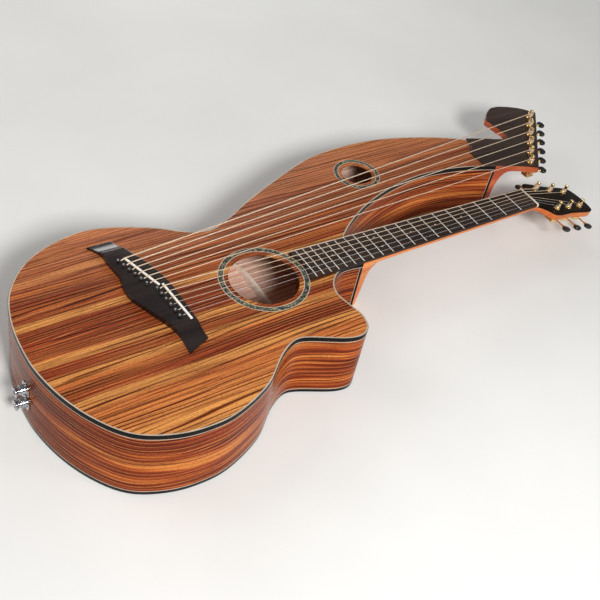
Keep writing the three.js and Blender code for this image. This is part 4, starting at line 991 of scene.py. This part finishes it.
def between_frets(fret):
    """The middle of the space before a fret."""
    return scale_length * (2 ** (-fret / octave) + 2 ** (-(fret - 1) / octave)) / 2


dots = [(between_frets(fret), 0) for fret in (5, 7, 9, 15, 17)]
dots += [(between_frets(octave), side) for side in (-11, 11)]
dots = grown("dots", dot_tree, [(x, y, board_high + crown(y) - 0.16) for x, y in dots],
             Radius=1.6, Thickness=0.4, Shell=pale_line)
fitted(settled("position_dots", dots, board_frame))

# The nut: a strip of bone at the end of the fingerboard. Its top is rounded in front, where the strings
# rest in a notch each, and falls away towards the headstock.
nut_low, nut_high, nut_spread = 0.3, 7.6, 36
nut_near_x, nut_crest, nut_back, nut_thickness, nut_corner = 649, 7.35, 4.2, 3.4, 0.5
notch_x, notch_reach, notch_room = scale_length + 2.5, 9, 0.12


def carved(base, tools):
    """A mesh with others cut out of it, all drawn in millimetres."""
    blank = made_of("blank", base, Matrix())
    for tool in tools:
        cut = blank.modifiers.new("cut", "BOOLEAN")
        cut.operation, cut.solver, cut.object = "DIFFERENCE", "EXACT", made_of("cutter", tool, Matrix())
    left = bmesh.new()
    left.from_object(blank, bpy.context.evaluated_depsgraph_get())
    for made in [cut.object for cut in blank.modifiers] + [blank]:
        bpy.data.objects.remove(made)
    return left


gauges = [1.35, 1.07, 0.81, 0.61, 0.41, 0.3]
nut_places = [nut_spread * (0.5 - i / 5) for i in range(6)]
nut_section = [(0, nut_low), (nut_thickness, nut_low), (nut_thickness, nut_back), (1.5, nut_crest - 0.5),
               (1.1, nut_crest - 0.12), (0.75, nut_crest), (0.4, nut_crest), (0.12, nut_crest - 0.12),
               (0, nut_crest - 0.4)]
nut_rings = [(-nut_width / 2, nut_corner), (nut_corner - nut_width / 2, 0), (nut_width / 2 - nut_corner, 0),
             (nut_width / 2, nut_corner)]
nut = ringed([[Vector((nut_near_x + along, y, height - (height > nut_back) * eased))
               for along, height in nut_section] for y, eased in nut_rings])
bmesh.ops.recalc_face_normals(nut, faces=nut.faces)
notches = []
for gauge, y in zip(gauges, nut_places):
    radius = gauge / 2 + notch_room
    notch = [(0, -notch_reach), (radius, -notch_reach), (radius, notch_reach), (0, notch_reach)]
    notch = turned(notch, sides=16)
    notch.transform(Matrix.Rotation(math.pi / 2, 4, "Y"))
    notches.append(moved(notch, notch_x, y, nut_high))
# The nut's bone is darker and tanner than the saddles' bone: painted shade.
nut_bone_with_painted_shade = glossy("nut_bone", (214, 202, 180), (232, 222, 204), 0.32, 0.1)
fitted(made_of("nut_bone", carved(nut, notches), board_frame, nut_bone_with_painted_shade), "nut")

# The headstock veneer: a thin dark face glued on the headstock, its edge eased.
head_face = wood("head_face_wood", {0.3: (16, 10, 8), 0.7: (34, 24, 19)}, (165, 160, 156),
                 gloss=0.4, lines=0.5, width=0.012, sway=0.002, pitch=0.003, shine=0.02)
face = made_of("headstock_face", slab(head_loop, -veneer, 0, 0, 0.4), head_frame, head_face)
fitted(face, "head_veneer")

# The harp head: a mahogany plate with a hooked horn, and under it a short heel that closes the arm's end
# and sweeps up into the plate's underside.
harp_underside, heel_flat, heel_sweep, deep = -11, 7, 28, -200
sweep_start = arm_end_x + 0.3 + heel_flat
harp_loop = faired(outline("harp_head", board_frame, 0), 1.5, 50, 3)
harp_reach = cad_box[1][1] * 1000
for point in harp_loop:
    point.y = min(point.y, harp_reach)


def harp_bottom(x):
    """The underside of the harp head at a place along it."""
    past = (x - sweep_start) / heel_sweep
    if past <= 0:
        return back_z(x) + 0.05
    left = max(0, 1 - past)
    return harp_underside + (back_z(x) - harp_underside) * (1 - (1 - left ** 3) ** (1 / 3))


harp_head = slab(harp_loop, deep, 0, 0.8, 0)
sweep_steps = [0.001, 0.004, 0.01, 0.02, 0.035, 0.06, 0.1, 0.15, 0.22, 0.3, 0.4, 0.52, 0.68, 1]
sliced(harp_head, "x", [sweep_start + heel_sweep * step for step in sweep_steps])
for vertex in harp_head.verts:
    if vertex.co.z < deep / 2:
        vertex.co.z += harp_bottom(vertex.co.x) - deep
harp_wood = wood("harp_head_wood", {0.3: (150, 62, 38), 0.5: (172, 82, 52), 0.7: (192, 106, 70)},
                 (190, 150, 134), gloss=0.3, coat=0.05, lines=0.35, width=0.03, sway=0.003, shine=0.15)
fitted(made_of("hooked_harp_head", harp_head, board_frame, harp_wood), "harp_head")

# The harp head's overlay: dark wood over the head, lapping over the end of the soundboard in a slanting
# edge, with its rim eased and polished.
overlay_thickness = 3
harp_frame = board_frame @ Matrix.Translation((0, 0, overlay_thickness))
overlay_wood = wood("overlay_wood", {0.3: (42, 30, 24), 0.7: (70, 53, 44)}, (150, 138, 130),
                    gloss=0.26, coat=0.05, lines=0.7, width=0.016, sway=0.003, pitch=0.003, shine=0.3)
overlay_loop = faired(outline("harp_head_veneer", harp_frame, 0), 1.5, 50, 3)
for point in overlay_loop:
    point.y = min(point.y, harp_reach)
overlay = slab(overlay_loop, 0.05 - overlay_thickness, 0, 0, 1.1)
fitted(made_of("harp_head_overlay", overlay, harp_frame, overlay_wood), "harp_head_veneer")

# The tuners: twelve gold-plated machines. The housing screws to the underside of each head, and a bushing
# with a nut and washer clamps it from the face.
housing_size, gear_radius, worm_radius = (17, 15.5, 10.5), 4, 1.6
worm_offset = gear_radius + worm_radius + 0.3
gear_gap, case_wall, case_round, bushing_bore = 1.4, 0.35, 2.5, 3.1
gold = metal("gold_plate", (232, 196, 132), (250, 224, 168), 0.2)


def spot(node, place):
    """Where the axis of a tuner's post stands in its head's face."""
    corners = [place.inverted() @ vertex.co for vertex in nodes[node].data.vertices]
    return [(min(point[i] for point in corners) + max(point[i] for point in corners)) / 2 for i in (0, 1)]


def softened(corners, radius, closed=False):
    """A profile with its corners rounded off."""
    soft, most = [], 0.45
    for i, corner in enumerate(corners):
        here, before, after = (Vector(corners[k % len(corners)]) for k in (i, i - 1, i + 1))
        if not closed and i in (0, len(corners) - 1):
            soft.append(here)
            continue
        start = here.lerp(before, min(most, radius / (before - here).length))
        end = here.lerp(after, min(most, radius / (after - here).length))
        for step in range(4):
            t = step / 3
            soft.append(start.lerp(here, t).lerp(here.lerp(end, t), t))
    return soft


def joined(meshes):
    """Several meshes as one."""
    whole = bmesh.new()
    for mesh in meshes:
        data = bpy.data.meshes.new("part")
        mesh.to_mesh(data)
        mesh.free()
        whole.from_mesh(data)
        bpy.data.meshes.remove(data)
    return whole


def tuner_places(prefix, place):
    """Each tuner's own frame: its post along Z and its button along X. The last item is its worm's side."""
    found = []
    for i in range(6):
        x, y = spot(f"{prefix}_post_{i + 1}", place)
        if prefix == "harp_tuner":
            angle, side = 0, -1
        else:
            angle, side = (math.pi / 2, -1) if y > 0 else (-math.pi / 2, 1)
        found.append((place @ Matrix.Translation((x, y, 0)) @ Matrix.Rotation(angle, 4, "Z"), side))
    return found


def plate(left, right, middle, half, radius, low, high, edge):
    """A plate with rounded corners between two lengths, reaching half its width from its middle."""
    corners = [(left, middle - half), (right, middle - half), (right, middle + half), (left, middle + half)]
    return slab(softened(corners, radius, True), low, high, edge)


def collar_of(outer, low, high, radius, sides=32, top=None):
    """A collar round the bushing's bore, its top narrower where that is given."""
    profile = [(bushing_bore, low), (outer, low), (top or outer, high), (bushing_bore, high)]
    return turned(softened(profile, radius, True), True, sides)


heads = {"guitar_tuner": (tuner_places("guitar_tuner", head_frame), head_thickness),
         "harp_tuner": (tuner_places("harp_tuner", harp_frame), 14)}
long, wide, high = housing_size
for prefix, (places, thickness) in heads.items():
    fittings = []
    for place, side in places:
        middle = side * (wide / 2 - gear_radius - gear_gap - case_wall)
        seat = -thickness - gap
        case = plate(-long / 2, long / 2, middle, wide / 2, case_round, -thickness - high, seat, 1.5)
        tab = plate(-long / 2 - 5, 1 - long / 2, middle, 2.6, 2.2, -thickness - 1.2, seat, 0.3)
        washer, hexagon = collar_of(5.2, gap, 0.6, 0.2), collar_of(4.7, 0.6, 2.4, 0.3, 6)
        lip = collar_of(4.0, 2.4, 2.7, 0.1, top=3.9)
        screw = turned([(0, -2.2), (1.7, -2.2), (1.7, -1), (0, -0.6)], sides=16)
        moved(screw, -long / 2 - 2.4, middle, 1.0 - thickness)
        for mesh in (case, washer, hexagon, lip, screw, tab):
            mesh.transform(place)
            fittings.append(mesh)
    fitted(made_of(f"{prefix}_housings", joined(fittings), Matrix(), gold))

# The posts: each turns in its bushing, its string wound round its waist, with a gear at its foot inside the
# housing that the worm drives.
post_radius, waist_radius, cap_radius, post_height = 3, 2.65, 3.6, 14.9
gear_half, cup_radius, cup_depth = 1.8, 0.9, 0.7
for prefix, (places, thickness) in heads.items():
    gear = -thickness - high / 2
    profile = [(0, gear - gear_half), (gear_radius, gear - gear_half), (gear_radius, gear + gear_half),
               (post_radius, gear + gear_half), (post_radius, 3.3), (waist_radius, 4.2), (waist_radius, 11),
               (cap_radius - 0.2, 12.6), (cap_radius, 13.6), (cap_radius - 0.3, post_height),
               (cup_radius + 0.2, post_height), (cup_radius, post_height - cup_depth),
               (0, post_height - cup_depth)]
    for i, (place, side) in enumerate(places, 1):
        post = made_of(f"{prefix}_string_post_{i}", turned(softened(profile, 0.3), sides=32), place, gold)
        fitted(post, f"{prefix}_post_{i}", f"{prefix}_post_{i}")

# The buttons: black oval knobs on gold worm shafts, which stand out past the edge of the head. The player
# turns one to tune its string.
button_reach, button_size, button_powers, button_pinch = 32.5, (6, 8, 3.5), (0.8, 0.8, 0.62), 0.16
shaft_profile = [(0, -4), (worm_radius, -4), (worm_radius, 4), (1.3, 4.5), (1.3, 21.8), (1.7, 22.4),
                 (2.1, 24), (2.7, 26.6), (2.4, 28), (0, 28)]
black_knob = glossy("black_knob", (16, 15, 15), (30, 28, 28), 0.16, 0.4)
for prefix, (places, thickness) in heads.items():
    for i, (place, side) in enumerate(places, 1):
        shaft = turned(softened(shaft_profile, 0.4), sides=20)
        shaft.transform(Matrix.Rotation(math.pi / 2, 4, "Y"))
        knob = bmesh.new()
        bmesh.ops.create_uvsphere(knob, u_segments=32, v_segments=20, radius=1)
        for vertex in knob.verts:
            rounded = [math.copysign(abs(part) ** power, part)
                       for part, power in zip(vertex.co, button_powers)]
            pinch = button_pinch * (1 - min(1, Vector(rounded[:2]).length)) ** 1.5
            vertex.co = Vector(size * part for size, part in zip(button_size, rounded))
            vertex.co.z *= 1 - pinch
            vertex.co.x += button_reach
        parted(knob, lambda face: True)
        drop = Matrix.Translation((0, side * worm_offset, -thickness - high / 2))
        button = made_of(f"{prefix}_knob_{i}", joined([shaft, knob]), place @ drop, gold, black_knob)
        fitted(button, f"{prefix}_button_{i}", f"{prefix}_button_{i}")

# The strings: six on the neck, four of them wound, and six wound sub-basses. Each runs from its ball under
# the bridge plate up through the bridge, over its saddle and round its post.
string_hole_shift, string_lift, plate_under, ball_radius, wound_strings = -6.7, 0.2, -6, 2, 4
subbass_gauges = [1.8, 1.65, 1.5, 1.4, 1.3, 1.2]
winding_start, winding_gap, winding_turns, turn_steps = 3.6, 0.55, 3, 24
string_tree, given, result = tree_for("string", Radius="Float", Sides="Int", Metal="Material")
line = add(string_tree, "GeometryNodeMeshToCurve", {"Mesh": given["Geometry"]})
length = add(string_tree, "GeometryNodeSplineParameter").outputs["Length"]
line = add(string_tree, "GeometryNodeStoreNamedAttribute",
           {"Geometry": line, "Name": "along", "Value": length}, data_type="FLOAT", domain="POINT")
round_profile = add(string_tree, "GeometryNodeCurvePrimitiveCircle",
                    {"Resolution": given["Sides"], "Radius": given["Radius"]}, mode="RADIUS")
body = add(string_tree, "GeometryNodeCurveToMesh", {"Curve": line, "Profile Curve": round_profile,
                                                    "Fill Caps": True})
body = add(string_tree, "GeometryNodeRealizeInstances", {"Geometry": body})
string_tree.links.new(covered(string_tree, body, given["Metal"]).outputs[0], result.inputs[0])


def string_metal(name, shade, other, pitch=None):
    """Bare or wound string wire. The winding's turns follow the length of the string, and painted shade
    darkens the grooves between them.
    """
    made = metal(name, shade, other, 0.36)
    tree = made.node_tree
    shader = tree.nodes["Principled BSDF"]
    shader.inputs["Metallic"].default_value = 0.55
    if pitch:
        along = add(tree, "ShaderNodeAttribute", attribute_name="along").outputs["Fac"]
        turns = sums(tree, "SINE", sums(tree, "MULTIPLY", along, 2 * math.pi / pitch))
        height = sums(tree, "ABSOLUTE", turns)
        bump = add(tree, "ShaderNodeBump", {"Height": height, "Strength": 0.6, "Distance": 0.0001})
        tree.links.new(bump.outputs[0], shader.inputs["Normal"])
        base = shader.inputs["Base Color"].links[0].from_socket
        # Painted shade: the grooves between the winding's turns are darkened towards dark brown.
        dark = mix(tree, ramp(tree, height, (0, 0.65), (0.5, 0)), base, colour(70, 52, 44))
        tree.links.new(dark, shader.inputs["Base Color"])
    return made


wound = string_metal("wound_string", (222, 196, 168), (240, 218, 192), 0.34)
plain = string_metal("plain_string", (206, 202, 196), (224, 220, 214))
harp_in_board = board_frame.inverted() @ harp_frame
string_plan = []
for i, (gauge, over) in enumerate(zip(gauges, guitar_courses)):
    post = i + 1 if i < 3 else 9 - i
    bends = [Vector((nut_near_x, nut_places[i], nut_high)),
             Vector((nut_near_x + 1.1, nut_places[i], nut_high - 0.12))]
    string_plan.append((f"string_{6 - i}", gauge, over, bends, "guitar_tuner", post, -1 if i < 3 else 1,
                        head_in_board, wound if i < wound_strings else plain))
for i, (gauge, over) in enumerate(zip(subbass_gauges, subbass_courses)):
    string_plan.append((f"subbass_string_{i + 1}", gauge, over, [], "harp_tuner", i + 1, 1,
                        harp_in_board, wound))
for name, gauge, over, bends, prefix, post, wind, face_frame, material in string_plan:
    radius = gauge / 2
    hole = Vector((over.x + string_hole_shift, over.y))
    rest = saddle_high + radius + string_lift
    route = [Vector((*hole, plate_under - 3)), Vector((*hole, bridge_high)),
             Vector((hole.x + 1.6, hole.y, bridge_high + radius + string_lift)),
             Vector((over.x - 0.75, over.y, rest)), Vector((over.x + 0.75, over.y, rest)), *bends]
    post_frame = heads[prefix][0][post - 1][0]
    centre = face_frame.inverted() @ board_frame.inverted() @ post_frame.translation
    arrival = face_frame.inverted() @ route[-1]
    around = post_radius + 0.3 + radius
    away = (arrival - centre).xy
    tangent = math.atan2(away.y, away.x) - wind * math.acos(around / away.length)
    for step in range(winding_turns * turn_steps + 1):
        angle = tangent - wind * step / turn_steps * 2 * math.pi
        height = winding_start + radius + step / turn_steps * (gauge + winding_gap)
        route.append(face_frame @ Vector((centre.x + around * math.cos(angle),
                                          centre.y + around * math.sin(angle), height)))
    ball = softened([(0, -1.5), (ball_radius, -1.5), (ball_radius, 1.5), (0, 1.5)], 0.4)
    ball = moved(turned(ball, sides=20), *hole, plate_under - 1.6)
    edges = [(step, step + 1) for step in range(len(route) - 1)]
    data = grown(name, string_tree, route, edges, Radius=radius, Sides=10, Metal=material)
    core = bmesh.new()
    core.from_mesh(data)
    bpy.data.meshes.remove(data)
    fitted(made_of(f"{name}_wire", joined([core, ball]), board_frame, material),
           name)

# The jacks: two chromed barrels in the tail, each with a thin flange against the sides and a lipped end
# that a strap's hole buttons over. The plug goes into the bore.
jack_y, jack_drops = -11, (57, 82)
jack_profile = [(0, -20), (5.6, -20), (5.6, 0.2), (11, 0.2), (11, 1.8), (7, 2.0), (7, 8.8), (5.4, 9.2),
                (5.4, 13.2), (7.4, 13.6), (7.4, 16), (3.2, 16), (3.2, -12.5), (0, -12.5)]
# The chrome's colour is set darker than bright chrome: partly its own colour, partly a painted dark
# reflection.
chrome = metal("chrome_plate", (160, 162, 166), (186, 188, 192), 0.08, 0.05)
for name, drop in zip(("jack_upper", "jack_lower"), jack_drops):
    barrel = turned(softened(jack_profile, 0.45), sides=48)
    barrel.transform(Matrix.Translation((tail_x, jack_y, -drop)) @ Matrix.Rotation(-math.pi / 2, 4, "Y"))
    fitted(made_of(f"{name}_barrel", barrel, board_frame, chrome), name)

# The studio: a plain pale floor under the instrument, soft lamps above it, and a camera where the
# photographer stood.
floor_size, floor_drop = 40, 0.0004
floor_material, tree, shader = surface("pale_floor", {"Roughness": 0.9})
speckle = noise(tree, add(tree, "ShaderNodeTexCoord").outputs["Object"], 0.3, detail=3)
pale = ramp(tree, speckle, (0.3, (214, 213, 210)), (0.7, (220, 219, 216)))
tree.links.new(pale.outputs[0], shader.inputs["Base Color"])
floor = bmesh.new()
bmesh.ops.create_grid(floor, x_segments=1, y_segments=1, size=floor_size)
floor = made_of("studio_floor", moved(floor, 0, 0, -floor_drop), Matrix(), floor_material)

for name, place, aim, size, power in (
        ("key_lamp", (-0.34, -1.85, 1.65), (0.2, 0.05, 0.1), 0.5, 70),
        ("side_lamp", (1.3, -1.5, 1.35), (0.25, 0, 0.1), 0.5, 6),
        ("back_lamp", (1.03, 1.92, 0.85), (0.1, 0, 0.1), 0.9, 13),
        ("top_lamp", (-1.0, 1.0, 1.5), (0.2, 0, 0.1), 1.1, 9)):
    lamp = bpy.data.lights.new(name, "AREA")
    lamp.size, lamp.energy = size, power
    holder = bpy.data.objects.new(name, lamp)
    bpy.context.collection.objects.link(holder)
    holder.location = place
    holder.rotation_euler = (Vector(aim) - Vector(place)).to_track_quat("-Z", "Y").to_euler()

world = bpy.data.worlds.new("studio")
bpy.context.scene.world = world
world.use_nodes = True
sky = world.node_tree.nodes["Background"].inputs
sky["Color"].default_value, sky["Strength"].default_value = (0.9, 0.9, 0.9, 1), 0.26

camera = bpy.data.cameras.new("camera")
camera.sensor_width, camera.lens = 36, 58.332
camera_turn = [math.radians(angle) for angle in (46.0684, -8.6943, -32.7367)]
camera = bpy.data.objects.new("camera", camera)
bpy.context.collection.objects.link(camera)
camera.location = (-0.475988, -0.788146, 1.022769)
camera.rotation_euler = camera_turn
bpy.context.scene.camera = camera
bpy.context.scene.view_settings.view_transform = "Standard"
